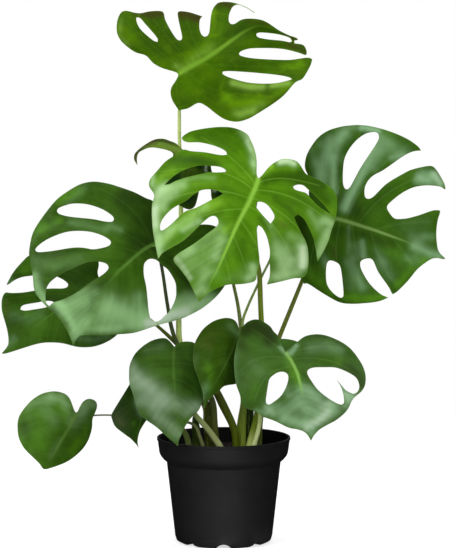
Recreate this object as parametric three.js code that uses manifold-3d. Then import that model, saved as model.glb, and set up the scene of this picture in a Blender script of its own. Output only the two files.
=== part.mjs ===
// Potted monstera: a young plant with ten split and heart-shaped leaves and two partly hidden ones,
// each on its own petiole, standing in potting soil in a black nursery pot.
// Millimetres, +Z up, origin at the centre of the pot's base, front of the plant towards -Y.
import * as THREE from 'three';
import { mergeVertices } from 'three/addons/utils/BufferGeometryUtils.js';
import Module from 'manifold-3d';

const wasm = await Module();
wasm.setup();

// ---- driving dimensions ----
const RIM_D = 170.8;            // outside diameter of the pot's rim
const POT_H = 134.2;          // height of the pot
const COLLAR_D = 164.8;       // collar, outside, near its lower edge
const BODY_TOP_D = 145;     // body just below the collar
const BODY_BASE_D = 125;    // body at the bottom corner
const FLOOR_T = 2.5;          // floor thickness
const FLOOR_Z = 5.0;          // underside of the floor above the ground
const ARCHES = 8;             // drainage arches in the foot ring
const ARCH_R = 11, ARCH_DROP = 5;
const DRAIN_HOLES = 6, DRAIN_D = 8, DRAIN_PCD = 62;
const SEGS = 40;              // facets round the pot
const SOIL_TOP = 117;         // height of the soil at the middle
const GAP = 0.35;             // gap between neighbouring pieces
const BLADE_T = 1.0;          // leaf blade thickness
const CELL = 19;              // spacing of the interior points of a blade
const SIDES = 8;              // facets round a petiole

// Leaves are drawn as a front elevation on the plane y = 0, seen from a station point 3 m in front.
// Each one has its outline, its slots, its midrib and a few depths; a thin-plate surface through the
// depths carries the drawing into space along the lines of sight.
const EYE = new THREE.Vector3(5.5, -3000, 588);
const LEAVES = {
  top: {
    bright: true, fold: 4.0,
    outline:
      [[-4, 686.8], [-8.2, 685.2], [-14.4, 676.4], [-16.5, 662], [-18.5, 647.6], [-20.4, 644.4], [-22.9, 643.1],
      [-25.4, 643.6], [-28, 646.1], [-30.4, 652.6], [-29.6, 666.4], [-26.9, 668.9], [-36.2, 671.8], [-45.6, 674.6],
      [-57.3, 675.2], [-58.2, 673.9], [-55.3, 658.2], [-52.3, 642.5], [-52.5, 640], [-54.5, 638.5], [-57, 638.6],
      [-60.8, 642.2], [-67.4, 653.7], [-73.9, 665.1], [-75.7, 673.9], [-77.1, 675.2], [-92.3, 675.4], [-104.9, 672.9],
      [-114.3, 674.5], [-123.8, 676.1], [-127.6, 675.2], [-130.5, 672.7], [-134.4, 662.6], [-134.9, 650.1],
      [-132.3, 642.5], [-126.5, 635.1], [-118.9, 629.6], [-111.4, 624], [-98.1, 619.9], [-89.9, 611.1],
      [-78.6, 604.5], [-68.4, 601.2], [-58.3, 597.9], [-57, 596], [-65.4, 580.9], [-67.3, 574.6], [-65.4, 564.5],
      [-56.7, 550.6], [-45.8, 553], [-34.4, 559.6], [-30.6, 560.5], [-23, 556.9], [-14.8, 550.6], [-6.5, 544.2],
      [2.3, 539.2], [16.3, 536.4], [30.2, 539.8], [42.8, 546.6], [53.4, 553.8], [63.9, 561], [74.5, 568.2],
      [83.3, 577.7], [92.1, 587.3], [98.8, 589.7], [101.9, 593.5], [110.3, 608.6], [111.9, 614.9], [109.7, 616.6],
      [104.7, 617], [90.8, 615.5], [76.9, 614.1], [61.7, 615.1], [46.6, 616.1], [31.4, 617], [20, 620.1], [19, 622.4],
      [21.3, 625], [31.4, 628.5], [39, 629.2], [56.7, 628.7], [74.3, 628.3], [86.3, 625.4], [98.2, 622.4],
      [103.4, 620.2], [105.3, 622.4], [103.8, 628.7], [100.9, 632.9], [89.5, 635], [89.2, 638.8], [93.3, 639.3],
      [93.2, 641.3], [81.8, 646.1], [70.5, 651], [59.8, 657.6], [49, 664.1], [37.7, 664.9], [26.3, 665.8],
      [20, 663.6], [13.7, 659.3], [8.7, 659.2], [6.5, 662.6], [7.2, 672.7], [9.9, 679.7], [16.2, 683.3],
      [28.2, 678.8], [38.7, 672.8], [39.9, 674.3], [28.8, 681.1], [17.1, 685.3], [7.4, 686.9]],
    holes: [
      [[-110.1, 667.7], [-106.2, 667.8], [-99.9, 660.8], [-91.6, 651], [-83.4, 641.3], [-82.7, 638.8], [-83.5, 636.9],
      [-86.1, 637.1], [-90.7, 640], [-97.8, 646.4], [-104.9, 652.7], [-108.7, 659.1], [-110.5, 665.1]],
      [[44.3, 648.8], [53.6, 648.2], [62.9, 647.6], [75.6, 645.1], [85, 641.3], [86.2, 637.5], [82.9, 636.3],
      [69.9, 638.3], [57, 640.3], [44, 642.4], [41.5, 644], [40.6, 646.3]],
      [[-0.9, 599.8], [6.1, 600.4], [22.6, 599], [39, 597.7], [55.4, 596.3], [71.9, 595], [84.5, 592], [86.4, 590.9],
      [86.4, 589.7], [69.4, 585.4], [51.7, 584.3], [41.5, 585], [31.4, 585.7], [16.2, 589.3], [1.2, 594.7],
      [-1.8, 597.2]],
    ],
    midrib:
      [[-56.7, 597.2], [-42.5, 605.4], [-24.8, 614.9], [-4.6, 628.1], [11.8, 640], [27, 650.1], [40.8, 656.4],
      [56, 655.7], [76.2, 647.6], [93.9, 640.7]],
    depth:
      [[-56.7, 597.2, -4], [1.7, 685.8, 100], [1.7, 639.4, 34], [1.7, 595.4, -12], [10.6, 538.6, -68],
      [-80.3, 675.8, 78], [-133.3, 658.2, 44], [93.9, 640.7, 92], [48.4, 664.5, 82], [-65.3, 570.1, -28],
      [111.6, 615.5, 42], [75.1, 568.9, -30], [27, 650.7, 52]],
  },
  centre: {
    bright: true, fold: 5.0,
    outline:
      [[44.1, 464.4], [50.5, 471.4], [56.9, 478.5], [64.7, 484.8], [73.5, 489], [84.7, 488.8], [93.9, 485.4],
      [103.8, 470.8], [112.4, 466.7], [121, 462.6], [130.1, 456.3], [139.2, 449.9], [142.9, 441.7], [143, 430.8],
      [143.1, 420], [140.8, 409.2], [137.4, 398.4], [133.9, 387.6], [128.4, 374.8], [123.9, 367], [119.4, 359.1],
      [116.7, 373.7], [114.1, 388.2], [108.4, 401.6], [101.4, 413.9], [94.4, 419], [89.3, 415.6], [94.6, 404.6],
      [99.8, 393.5], [105.1, 382.5], [107.2, 373.6], [107.3, 362.7], [107.3, 351.9], [104.8, 341.7], [97.8, 337.6],
      [91.4, 337.8], [79.3, 335.1], [67.3, 332.3], [55.2, 329.5], [58.6, 339.7], [58.8, 355.7], [58.9, 371.7],
      [56, 386.9], [52.5, 395.9], [46.8, 404.1], [44, 405], [42.4, 402.2], [43.3, 387.6], [44.3, 372.9],
      [45.3, 358.3], [42.8, 346.4], [40.3, 334.6], [27.8, 330.8], [17, 330.1], [6.1, 329.4], [-4.7, 326.3],
      [-16.2, 320.6], [-23.4, 313.9], [-30.6, 307.1], [-37.4, 320.2], [-44.2, 333.4], [-54, 346.9], [-63.8, 360.4],
      [-61.9, 365.3], [-49.5, 373.6], [-37.1, 381.8], [-23.1, 392.6], [-9.1, 403.4], [-6.3, 408.3], [-9, 415.7],
      [-11.9, 417.2], [-16.4, 416.5], [-25.6, 409.5], [-38.5, 397.5], [-51.3, 385.4], [-65.1, 376.9], [-79, 368.5],
      [-83.2, 362.5], [-86.4, 379.5], [-89.6, 396.5], [-90.8, 411.8], [-90.7, 422.6], [-90.6, 433.4], [-88.1, 444.2],
      [-94.5, 454.4], [-93.5, 463.2], [-83.6, 474.6], [-73.7, 486.1], [-64.5, 492.4], [-55.3, 498.7], [-49.8, 501.4],
      [-43.3, 499.4], [-33.8, 498.5], [-24.3, 497.7], [-12.9, 495.8], [-1.5, 493.9], [4.2, 494.7], [4, 497.5],
      [1.1, 500.2], [-9.7, 505.3], [-20.2, 507.8], [-30.6, 510.3], [-46.5, 510.5], [-51.5, 512.5], [-53.2, 515.8],
      [-50.9, 518.6], [-43.3, 523.4], [-32.2, 525.8], [-21.1, 528.2], [-5.3, 529.7], [11.2, 528.8], [25.1, 523.7],
      [31.2, 519], [35.3, 509.5], [39.5, 500], [41.5, 490.5], [41.9, 478.8], [42.3, 467.2]],
    holes: [
      [[-75, 456.4], [-65.5, 466], [-52.1, 474.5], [-38.9, 479.5], [-25.3, 481.2], [-8.5, 480], [-0.2, 477.6],
      [3, 474.8], [2.2, 472.7], [-7.9, 472.6], [-18, 472.5], [-34.3, 468.9], [-47.7, 465.1], [-61, 461.3],
      [-69, 457.1]],
      [[-81, 404.8], [-78, 412.4], [-72.6, 419.4], [-65, 426.4], [-55.1, 432.2], [-45.3, 438], [-38.9, 443.8],
      [-28.8, 449.5], [-24.2, 450.5], [-12.3, 450.2], [-5.9, 448.6], [-0.8, 445], [-12.3, 439], [-23.7, 433.1],
      [-35.1, 427.2], [-48.5, 422.8], [-57.7, 414.4], [-66.9, 406], [-78.9, 397.8], [-80.7, 398.8]],
      [[88, 454], [90.5, 456], [97.5, 456.8], [101.9, 455.5], [112.1, 446], [122.3, 436.4], [129.3, 427.8],
      [136.3, 419.2], [127.4, 425], [118.5, 430.9], [111.5, 438.5], [104.5, 446.2], [91.2, 450], [88.5, 451.9]],
      [[41.4, 434], [45.5, 435.2], [50.7, 434], [55.7, 430.9], [60.4, 425.1], [64.1, 418.8], [64.8, 415],
      [59.5, 406.9], [50.6, 417.2], [41.7, 427.5], [40.3, 431.5]],
    ],
    midrib:
      [[43.8, 464.1], [41, 455], [36.6, 444.8], [30.3, 430.9], [20.7, 413], [11.9, 394], [3, 373.6], [-7.2, 350.6],
      [-19.3, 327.6], [-30.6, 307.1]],
    depth:
      [[44.1, 465.1, -66], [-30.6, 307.1, -122], [10.6, 391.4, -101], [29.6, 430.9, -84], [-5.9, 529.7, -28],
      [14.4, 500.6, -48], [-93.5, 460.1, -36], [-91, 429.6, -38], [-83.6, 364.6, -56], [-30, 449.9, -66],
      [-63.8, 360.8, -88], [37.3, 334, -98], [56.4, 330.2, -78], [97.2, 337.8, -60], [119.4, 359.5, -48],
      [142.6, 430.9, -38], [81.6, 488, -44], [84.3, 418.1, -70]],
  },
  right: {
    bright: false, fold: 4.0,
    outline:
      [[106.7, 330.9], [116.9, 324.4], [127.1, 317.9], [138, 312.1], [148.8, 306.4], [164.1, 304.8], [178.2, 305.9],
      [192.2, 306.9], [201.1, 309], [209.7, 312.9], [200.8, 316.7], [188.2, 328], [180.5, 338.5], [174.1, 351.7],
      [173.6, 357.6], [175, 360.2], [185.5, 363.1], [189.3, 361.4], [196.5, 346.1], [203.9, 335.3], [211.4, 324.4],
      [215, 317.2], [217.7, 318], [225.9, 325.8], [234, 333.6], [240.1, 341.2], [246.2, 348.7], [255.5, 356.5],
      [265.7, 362.7], [273.3, 363.2], [280.9, 361.7], [282, 362.7], [273.6, 371.7], [270.6, 388.6], [270.6, 401],
      [272.8, 415], [275.1, 421.3], [274.8, 423.9], [267.8, 424.2], [255.5, 420.7], [243.3, 417.1], [231, 413.5],
      [218.3, 413.2], [215.8, 414.3], [207.1, 427.7], [207.8, 430.2], [215.6, 437.9], [225.7, 445.7], [234, 449.7],
      [242.2, 453.7], [257.4, 455.8], [273.9, 454.5], [281.6, 450.7], [280.5, 456.9], [277.7, 462.6], [268.7, 476.8],
      [264.8, 480.2], [259.8, 480.4], [244.6, 477.4], [229.4, 471.4], [218, 464.5], [206.6, 457.6], [197.2, 448.6],
      [187.7, 439.5], [183.9, 438.5], [180.6, 439.1], [179, 442.9], [179.5, 454.4], [185.5, 464.5], [200.1, 474.3],
      [214.7, 484], [229.3, 493.8], [240.6, 498.9], [250.2, 500], [248.2, 503.3], [240.6, 509.6], [229.1, 516.5],
      [218.1, 520.9], [207, 525.3], [195.9, 528.1], [184.7, 530.9], [172, 532.2], [160.6, 531.2], [149.2, 530.2],
      [132.8, 525.3], [121.4, 518], [112.8, 507.6], [104.7, 492.4], [103.2, 477.2], [107.6, 467.7], [109.6, 457.5],
      [108.1, 447.4], [109.1, 438.5], [116, 429.2], [129.4, 417.6], [117.6, 421.3], [105.8, 425], [96.9, 425.3],
      [89.6, 422.2], [84.8, 414.3], [83, 401.6], [83.6, 386.3], [86.3, 371], [90.5, 357], [96.4, 343.6],
      [102.3, 330.2], [104.3, 331.3]],
    holes: [
      [[185.2, 522.8], [192.3, 523.4], [195.8, 521.5], [197, 516.5], [195.1, 511.4], [187.8, 500], [180.5, 488.6],
      [173.2, 477.2], [166.5, 464.8], [159.7, 452.5], [157.2, 450.5], [154.6, 450.7], [151.9, 455.6], [151.6, 465.8],
      [151.4, 475.9], [154.2, 492.4], [160.4, 503.8], [170.7, 515.2], [180.4, 521.5]],
      [[134, 360.2], [138.5, 360], [146, 356.3], [148.1, 353.8], [149.6, 341.9], [151.2, 329.9], [152.8, 318],
      [151.4, 312.3], [148.8, 312.4], [141.6, 316.7], [132.2, 328.2], [130.2, 342.3], [131.8, 357.6]],
    ],
    midrib:
      [[130, 417.4], [140.2, 414.3], [155.4, 410.5], [173.2, 404.8], [194.9, 397.8], [217.8, 389.5], [239.5, 381.2],
      [259.9, 372.3], [272.6, 366.5], [282.9, 362.1]],
    depth:
      [[129.4, 418.1, 24], [282.9, 362.1, -44], [205.1, 395.2, -2], [172.7, 532.3, 58], [250.1, 500.6, 34],
      [280.9, 451.2, 6], [274.8, 424.5, -12], [163.5, 305.9, -6], [214.4, 317.4, -32], [104.4, 493, 46],
      [101, 330.2, 24], [134.7, 525.9, 52], [147.6, 468.9, 36], [160.7, 358.3, 6], [97.1, 373.6, 30],
      [86.8, 409.2, 36], [112.1, 447.4, 40]],
  },
  left: {
    bright: false, fold: 4.5,
    outline:
      [[-90.4, 436.4], [-101.8, 441.6], [-113.2, 446.9], [-129, 452.2], [-144.9, 457.6], [-154.4, 459.1],
      [-163.9, 460.5], [-177.9, 458.5], [-186.8, 454.9], [-197.8, 447.7], [-208.9, 440.4], [-216.1, 433.3],
      [-223.2, 424.1], [-230.4, 415], [-235.7, 406.7], [-241.1, 398.4], [-245, 386.9], [-246.3, 376.7],
      [-247.6, 366.5], [-244.8, 353.2], [-243.2, 338.8], [-241.6, 324.4], [-239.1, 317.4], [-232.8, 309.1],
      [-220.4, 296.6], [-208.1, 284.1], [-202.1, 273.2], [-196.1, 262.3], [-191.3, 250], [-189.5, 256.5],
      [-183.9, 263.6], [-167.7, 264.1], [-151.4, 264.6], [-138.9, 265.7], [-126.3, 266.7], [-113.8, 267.8],
      [-98.4, 272.4], [-83, 277], [-67.6, 281.7], [-52.3, 286.3], [-42.2, 291.3], [-32.1, 296.3], [-20.9, 303.9],
      [-8.1, 315.5], [1.4, 328.2], [7.4, 341.7], [8.4, 351.2], [9.3, 360.8], [6.8, 371.6], [4.2, 382.5],
      [-2.1, 396.5], [-10.4, 403.6], [-21.8, 406], [-35.2, 404.8], [-47.4, 399], [-59.7, 393.2], [-71.9, 387.5],
      [-84.1, 381.7], [-88.2, 386.3], [-87.5, 396.5], [-84, 409.2], [-83, 422], [-85.3, 430.9]],
    holes: [
      [[-189.4, 432.8], [-172.9, 431.7], [-163.4, 428.5], [-153.9, 425.4], [-140.5, 416.2], [-139.5, 411.1],
      [-141.3, 409.5], [-150.2, 409.7], [-165.4, 412.7], [-180.6, 414.4], [-195.9, 416], [-207.3, 418.7],
      [-212.1, 422.6], [-209.8, 426.9], [-197.3, 431.5]],
      [[-196.7, 397.1], [-184.9, 397.2], [-173.1, 397.3], [-157.8, 393.5], [-146.4, 387.7], [-143.3, 384.4],
      [-143.2, 381.8], [-145.2, 379.3], [-151.6, 376.8], [-166.8, 374.3], [-177.6, 375.5], [-188.4, 376.7],
      [-200.3, 375], [-212.2, 373.3], [-224.1, 371.5], [-238.1, 371.1], [-240, 372.9], [-239.3, 375.3],
      [-230.8, 383.1], [-216.6, 390.8], [-206.7, 394]],
      [[-226.9, 314.8], [-225.6, 325], [-220.5, 333], [-212.5, 338.7], [-204.5, 344.5], [-190.5, 350.7],
      [-176.5, 357], [-166.3, 359.1], [-150.4, 356.7], [-146.8, 353.7], [-146.2, 351.1], [-148.5, 347],
      [-159.4, 338.9], [-170.2, 330.8], [-179.2, 324.7], [-188.1, 318.7], [-197.1, 314.2], [-206, 309.7],
      [-217.5, 306.1], [-222, 301.8], [-226, 305.3]],
      [[-102, 348.7], [-101, 356.5], [-95.9, 361.7], [-92.5, 362.5], [-87, 361.6], [-79.6, 355.6], [-72.1, 349.7],
      [-64.5, 338.5], [-61.1, 330.8], [-60.7, 314.2], [-65.2, 302], [-71, 293.1], [-80.6, 284.1], [-86.9, 281.8],
      [-92.7, 284.7], [-94.2, 287.9], [-96.2, 303.1], [-98.1, 318.3], [-100.1, 333.5]],
    ],
    midrib:
      [[-85.4, 382.5], [-97.5, 376.8], [-109, 368.5], [-124.3, 355.1], [-139.6, 340.4], [-152.4, 323.8],
      [-164, 305.9], [-175.5, 284.1], [-183.9, 268.7], [-191.3, 250]],
    depth:
      [[-85.4, 382.5, -4], [-191.3, 250.8, -86], [-139.6, 340.4, -48], [-164.5, 461.3, 26], [-207.8, 443.6, 8],
      [-246.3, 373.6, -22], [-240.3, 322.5, -42], [0.4, 327.6, 6], [-30.1, 392.7, 12], [-113.1, 268.7, -52],
      [-53.1, 286.7, -20], [-91, 437.2, 16], [-144.4, 411.8, -6], [-170.3, 309.7, -62]],
  },
  far_left: {
    bright: false, fold: 3.5,
    outline:
      [[-247.7, 366.5], [-257.4, 356.3], [-267.1, 346.1], [-271.8, 337.8], [-276.6, 329.5], [-275.3, 328.8],
      [-267.6, 334.2], [-258.3, 338.5], [-244.8, 340.2], [-231.3, 341.9], [-218.5, 341], [-210.3, 338.7],
      [-201.4, 333.6], [-197.6, 329.3], [-198.6, 326.7], [-202.7, 324.7], [-218.3, 323.9], [-233.9, 323.1],
      [-245.1, 321.1], [-256.3, 319.2], [-272.8, 318.7], [-277.9, 319.6], [-279.7, 318], [-282.4, 311.6],
      [-283.1, 301.4], [-282.5, 295], [-279.7, 284.9], [-277, 274.9], [-275.8, 265], [-274.6, 255.2], [-277.9, 247.5],
      [-283.5, 241.1], [-281.1, 240.6], [-265.7, 245.1], [-250.4, 249.6], [-235, 254.1], [-221, 255.3],
      [-205.7, 254.2], [-195.5, 251.8], [-185.3, 249.4], [-168.7, 249.5], [-159.7, 252.3], [-150.8, 255.1],
      [-139.9, 261.7], [-131, 271.3], [-127.1, 286.7], [-128.3, 296.3], [-129.6, 305.9], [-134, 314.2],
      [-138.4, 322.5], [-148.6, 333.4], [-157.7, 337.1], [-160.5, 344.2], [-158.8, 355.1], [-160.5, 363.4],
      [-167.5, 368.1], [-182.8, 369.5], [-195.5, 369.6], [-208.2, 369.7], [-220.9, 369.7], [-236.2, 369]],
    holes: [
      [[-259.2, 297.5], [-258.9, 300.1], [-256.4, 302.7], [-242, 305.5], [-227.7, 308.3], [-220, 308.4],
      [-216.2, 306.8], [-222, 301.8], [-229, 299.7], [-240.8, 297.9], [-252.6, 296]],
    ],
    midrib:
      [[-158.1, 338.5], [-170.2, 331.4], [-185.6, 319.9], [-200.9, 307.1], [-214.1, 295.9], [-231.6, 282.8],
      [-249.6, 270], [-265, 258.5], [-274.6, 250.1], [-283.5, 241.1]],
    depth:
      [[-158.1, 337.8, 48], [-283.5, 241.1, -4], [-221.4, 290.5, 28], [-208.2, 369.7, 62], [-259.2, 354.4, 48],
      [-282.4, 309.7, 18], [-129.7, 277.7, 40], [-185.9, 249.5, 14], [-234.4, 254.6, 6]],
  },
  back: {
    bright: false, fold: 2.0,
    outline:
      [[-19.1, 487.7], [-30.3, 490.4], [-41.4, 493], [-48.7, 498.7], [-56, 504.4], [-59.8, 508.7], [-75.6, 514.7],
      [-86.4, 514.2], [-95.2, 510.1], [-103.5, 504.7], [-113.3, 494.9], [-113.7, 488.6], [-109.1, 481.1],
      [-109.6, 493.3], [-107.7, 497.2], [-102.9, 500.4], [-92.7, 503.9], [-79.4, 502.4], [-70.6, 500.2],
      [-64.9, 497.5], [-63.6, 493.7], [-70.6, 485.4], [-76.3, 472.7], [-76.3, 458.8], [-69.4, 446.1], [-60.5, 434.7],
      [-50.4, 427], [-42.8, 425.1], [-36.7, 429.2], [-32.2, 446.5], [-27.7, 463.9], [-25.7, 468.7], [-23.3, 470.7],
      [-20.8, 469.5], [-18.4, 461.3], [-17, 451.2], [-15.6, 441], [-12.9, 433.4], [-7.5, 430.3], [-1.6, 433.4],
      [2.2, 441], [2.7, 450.5], [-1.4, 460.1], [-13.5, 470.2], [-15.7, 475.3], [-17.3, 486.4]],
    holes: [],
    midrib:
      [[-22.9, 486.4], [-35.1, 489.9], [-45.2, 494.3], [-55.3, 500], [-65.5, 505.1], [-75.6, 508.9], [-86.4, 509.7],
      [-95.9, 507], [-104.1, 501.9], [-110.5, 494.3], [-109.6, 482.3]],
    depth:
      [[-23.7, 486.7, 2], [-49.1, 430.9, -8], [-80.7, 508.2, 12], [-111.1, 488, -6], [-68.1, 456.3, -8],
      [-57.9, 503.2, 5], [-36.4, 468.9, -2], [-74.3, 512, 14], [-74.3, 501.9, 6], [-26.2, 477.8, 1], [-18, 474, 13],
      [-16.1, 461.3, 19], [-13.5, 447.4, 25], [-2.1, 437.2, 34], [0.4, 452.4, 30]],
  },
  low_far_left: {
    bright: false, fold: 3.0,
    outline:
      [[-164.6, 165.2], [-162.2, 171.6], [-162.6, 178.1], [-165.2, 181], [-174.1, 182.8], [-179.3, 179.6],
      [-188.3, 164.6], [-189.6, 164.9], [-193.3, 174.1], [-197, 183.2], [-202.2, 188.8], [-213.7, 192.3],
      [-220.1, 192.2], [-230.3, 190], [-238.8, 185.8], [-248.3, 178.2], [-254.3, 170.4], [-260.4, 162.6],
      [-263.2, 154.9], [-263.8, 144.6], [-263, 135.5], [-260.6, 127.8], [-254.3, 117.4], [-245.2, 108.2], [-236, 99],
      [-231, 91.8], [-220.7, 94.6], [-210.4, 97.3], [-198.9, 102.7], [-189.8, 110.3], [-180.8, 118], [-174.3, 127.8],
      [-171.6, 134.2], [-168.6, 145.8], [-167.9, 157.5]],
    holes: [],
    midrib:
      [[-188.5, 163.3], [-194.1, 152.9], [-199.9, 142.6], [-207, 131], [-213.5, 119.4], [-220, 107.7], [-225.8, 98.7],
      [-230.3, 91.4]],
    depth:
      [[-188.9, 163.3, -14], [-230.3, 92.2, -52], [-263.2, 145.2, -40], [-219.4, 192.9, -8], [-168.4, 181.3, 10],
      [-168.5, 145.2, 14], [-190.4, 116.8, -10], [-235, 155.5, -38], [-209.6, 129.7, -34]],
  },
  low_left_back: {
    bright: false, fold: 2.5,
    outline:
      [[-120.4, 201.3], [-128.3, 187.7], [-136.3, 174.2], [-144.3, 160.7], [-140.6, 149.7], [-137.8, 145.8],
      [-127.9, 138.2], [-118, 130.5], [-108.6, 119.4], [-110.1, 125.2], [-110, 130.4], [-107.5, 140.7],
      [-99.6, 152.6], [-91.7, 164.6], [-84, 180], [-82, 194.2], [-86.5, 206.4], [-93.4, 210.1], [-98.6, 204],
      [-103.1, 210.9], [-111.4, 211.9], [-117.1, 207.3]],
    holes: [],
    midrib:
      [[-98, 202.6], [-99.3, 192.9], [-101.3, 181.3], [-103.8, 168.4], [-106.4, 155.5], [-108.8, 142.6],
      [-110, 132.3], [-109, 120.7]],
    depth:
      [[-98, 203.2, 34], [-109.1, 120.7, -26], [-144.2, 162, 12], [-126.2, 187.8, 24], [-84, 187.8, 30],
      [-104.5, 162, 8], [-137.8, 145.2, 2], [-94.3, 162, 14]],
  },
  low_left: {
    bright: false, fold: 3.5,
    outline:
      [[-63, 249.7], [-68.5, 256.5], [-73.6, 260.5], [-79.3, 260.8], [-89.5, 258.4], [-99.8, 252.9], [-111.7, 242.4],
      [-115.2, 237.3], [-119.7, 227], [-120.8, 216.7], [-120.1, 201.3], [-116, 187.7], [-111.9, 174.2], [-106, 162.2],
      [-94.2, 152.2], [-82.3, 142.1], [-70.4, 132], [-58.5, 122], [-57.7, 128.7], [-53.2, 138.5], [-48.6, 148.4],
      [-41.2, 158.9], [-32.9, 166.9], [-27.7, 177.4], [-23.9, 191.6], [-23.6, 200.6], [-23.2, 209.6], [-24.5, 218.6],
      [-25.8, 227.6], [-30.9, 244.3], [-37.2, 254.6], [-44.3, 256.3], [-52.6, 256.1], [-57.9, 254.2]],
    holes: [],
    midrib:
      [[-62.9, 248.4], [-63.9, 237.9], [-64.2, 225.1], [-63.7, 210.9], [-62.7, 195.5], [-61.4, 178.7], [-60.1, 160.7],
      [-59.4, 142.6], [-58.5, 122]],
    depth:
      [[-62.9, 248.2, -28], [-58.5, 122, -96], [-64.8, 187.8, -72], [-120.9, 217.3, -46], [-23.9, 207.1, -40],
      [-90.2, 258.5, -20], [-40.4, 254.6, -20], [-107.1, 165.8, -66], [-40.6, 158.1, -74], [-94.2, 207.1, -60],
      [-36.7, 213.5, -50]],
  },
  low_middle: {
    bright: false, fold: 3.0,
    outline:
      [[20, 270.8], [16.5, 280.9], [11.9, 285], [3.6, 286.7], [-9.2, 284.1], [-16.8, 280.2], [-25.7, 272.9],
      [-31, 264.4], [-36.2, 255.9], [-38.7, 244.3], [-39.2, 232], [-36.9, 221.2], [-31.7, 205.1], [-26.5, 189],
      [-25.8, 179.4], [-25.2, 169.7], [-20.7, 179.4], [-10.8, 189], [-0.9, 198.6], [15.1, 201.9], [24.7, 207.7],
      [34.9, 219.3], [41.9, 235.3], [42.5, 252], [36.8, 266.1], [29.1, 274.4], [23.1, 276]],
    holes: [],
    midrib:
      [[20.3, 269.5], [16.3, 259.7], [11.9, 248.2], [6.1, 235.3], [-0.2, 222.5], [-7.3, 209.6], [-14.3, 198.1],
      [-20.3, 186.5], [-25.2, 169.7]],
    depth:
      [[20.3, 270, -30], [-25.2, 169.7, -88], [-0.9, 222.5, -70], [-39.2, 232.8, -58], [-35.3, 254.6, -46],
      [-9.8, 284.1, -24], [41.2, 252, -8], [20.8, 207.1, -44], [-14.9, 252, -56], [27.2, 232.8, -33]],
  },
  low_right: {
    bright: false, fold: 3.5,
    outline:
      [[78.6, 242.3], [73.6, 253.6], [68.6, 264.9], [64.4, 268.3], [59.7, 275.5], [53.3, 280.2], [47.6, 283.6],
      [39.9, 284.9], [31.6, 282.3], [25.4, 276.9], [20.3, 266.1], [16.1, 250.8], [14.6, 241.8], [13.2, 232.8],
      [13.7, 217.3], [16.2, 200.6], [21.4, 185.8], [22.1, 176.2], [27.6, 171.5], [43.9, 165.5], [49.6, 159.8],
      [66.3, 153.8], [74.7, 149.7], [83.2, 145.5], [95.7, 143], [103.4, 140], [108.3, 134.9], [111.8, 128.4],
      [114.1, 133.2], [121.3, 142], [132.2, 148.4], [143, 154.8], [154.5, 164.2], [159.6, 171], [164, 180.7],
      [175.2, 191.4], [180.3, 199.7], [181.3, 211.6], [180, 218.2], [176.6, 227], [170.8, 235.5], [165, 243.9],
      [159.3, 249.5], [151.2, 255.2], [141.8, 259.4], [132.4, 263.6], [119.7, 265.8], [106.9, 264.2], [100.5, 261.3],
      [89.6, 251.8]],
    holes: [
      [[68.6, 216.7], [73.8, 217.9], [78.9, 217], [82, 214.1], [82.4, 206.4], [78.5, 197.4], [74.7, 188.4],
      [63.7, 178.6], [57.3, 175], [54.3, 176.8], [53.9, 179.4], [56, 193.5], [58.1, 207.7], [61.2, 211.6]],
      [[106.7, 215.4], [107, 219.5], [112.1, 222.5], [117.2, 223.4], [130, 223.3], [142.8, 223.1], [158.1, 217.3],
      [169, 210.3], [172.6, 203.8], [173.2, 196.1], [170.8, 191.6], [165.5, 189], [157, 192.9], [151, 199.8],
      [145.1, 206.7], [150.4, 197.3], [153.5, 185.8], [153.8, 177.1], [150.9, 175.1], [139.1, 180], [130.1, 186.8],
      [121.2, 193.5], [114.1, 202.6]],
    ],
    midrib:
      [[79.5, 241.8], [84.7, 234.1], [89.8, 225.1], [94.3, 214.8], [97.5, 203.2], [100.7, 190.3], [104, 174.9],
      [106.6, 159.4], [109.2, 143.9], [111.8, 128.4]],
    depth:
      [[79.5, 241.8, -57], [111.8, 128.4, -116], [96.2, 200.6, -94], [42.5, 284.1, -43], [13.2, 230.2, -66],
      [23.4, 174.9, -84], [48.9, 232.8, -70], [120.3, 266.1, -34], [154.8, 252, -38], [180.5, 212.2, -48],
      [155.1, 165.8, -80], [65.6, 154.2, -98], [135.7, 239.2, -56]],
  },
  low_right_back: {
    bright: false, fold: 1.5,
    outline:
      [[57.2, 241.8], [51.4, 246.3], [54, 252.7], [61.6, 257.2], [70.6, 259.7], [84.6, 259], [94.2, 256.1],
      [100.6, 250.8], [105.1, 240.8], [109.6, 230.8], [97.4, 232.1], [85.9, 227.6], [74.5, 226.3], [63.6, 229.6],
      [54.3, 239.5]],
    holes: [],
    midrib:
      [[56.8, 240.5], [66.8, 242.4], [77, 243], [87.2, 241.1], [97.4, 237.3], [109.6, 230.8]],
    depth:
      [[56.6, 240.5, 8], [108.9, 231.5, -12], [78.2, 259.7, 26], [78.3, 227.6, -14], [59.1, 255.9, 22],
      [97.4, 252, 14]],
  },
};

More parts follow.
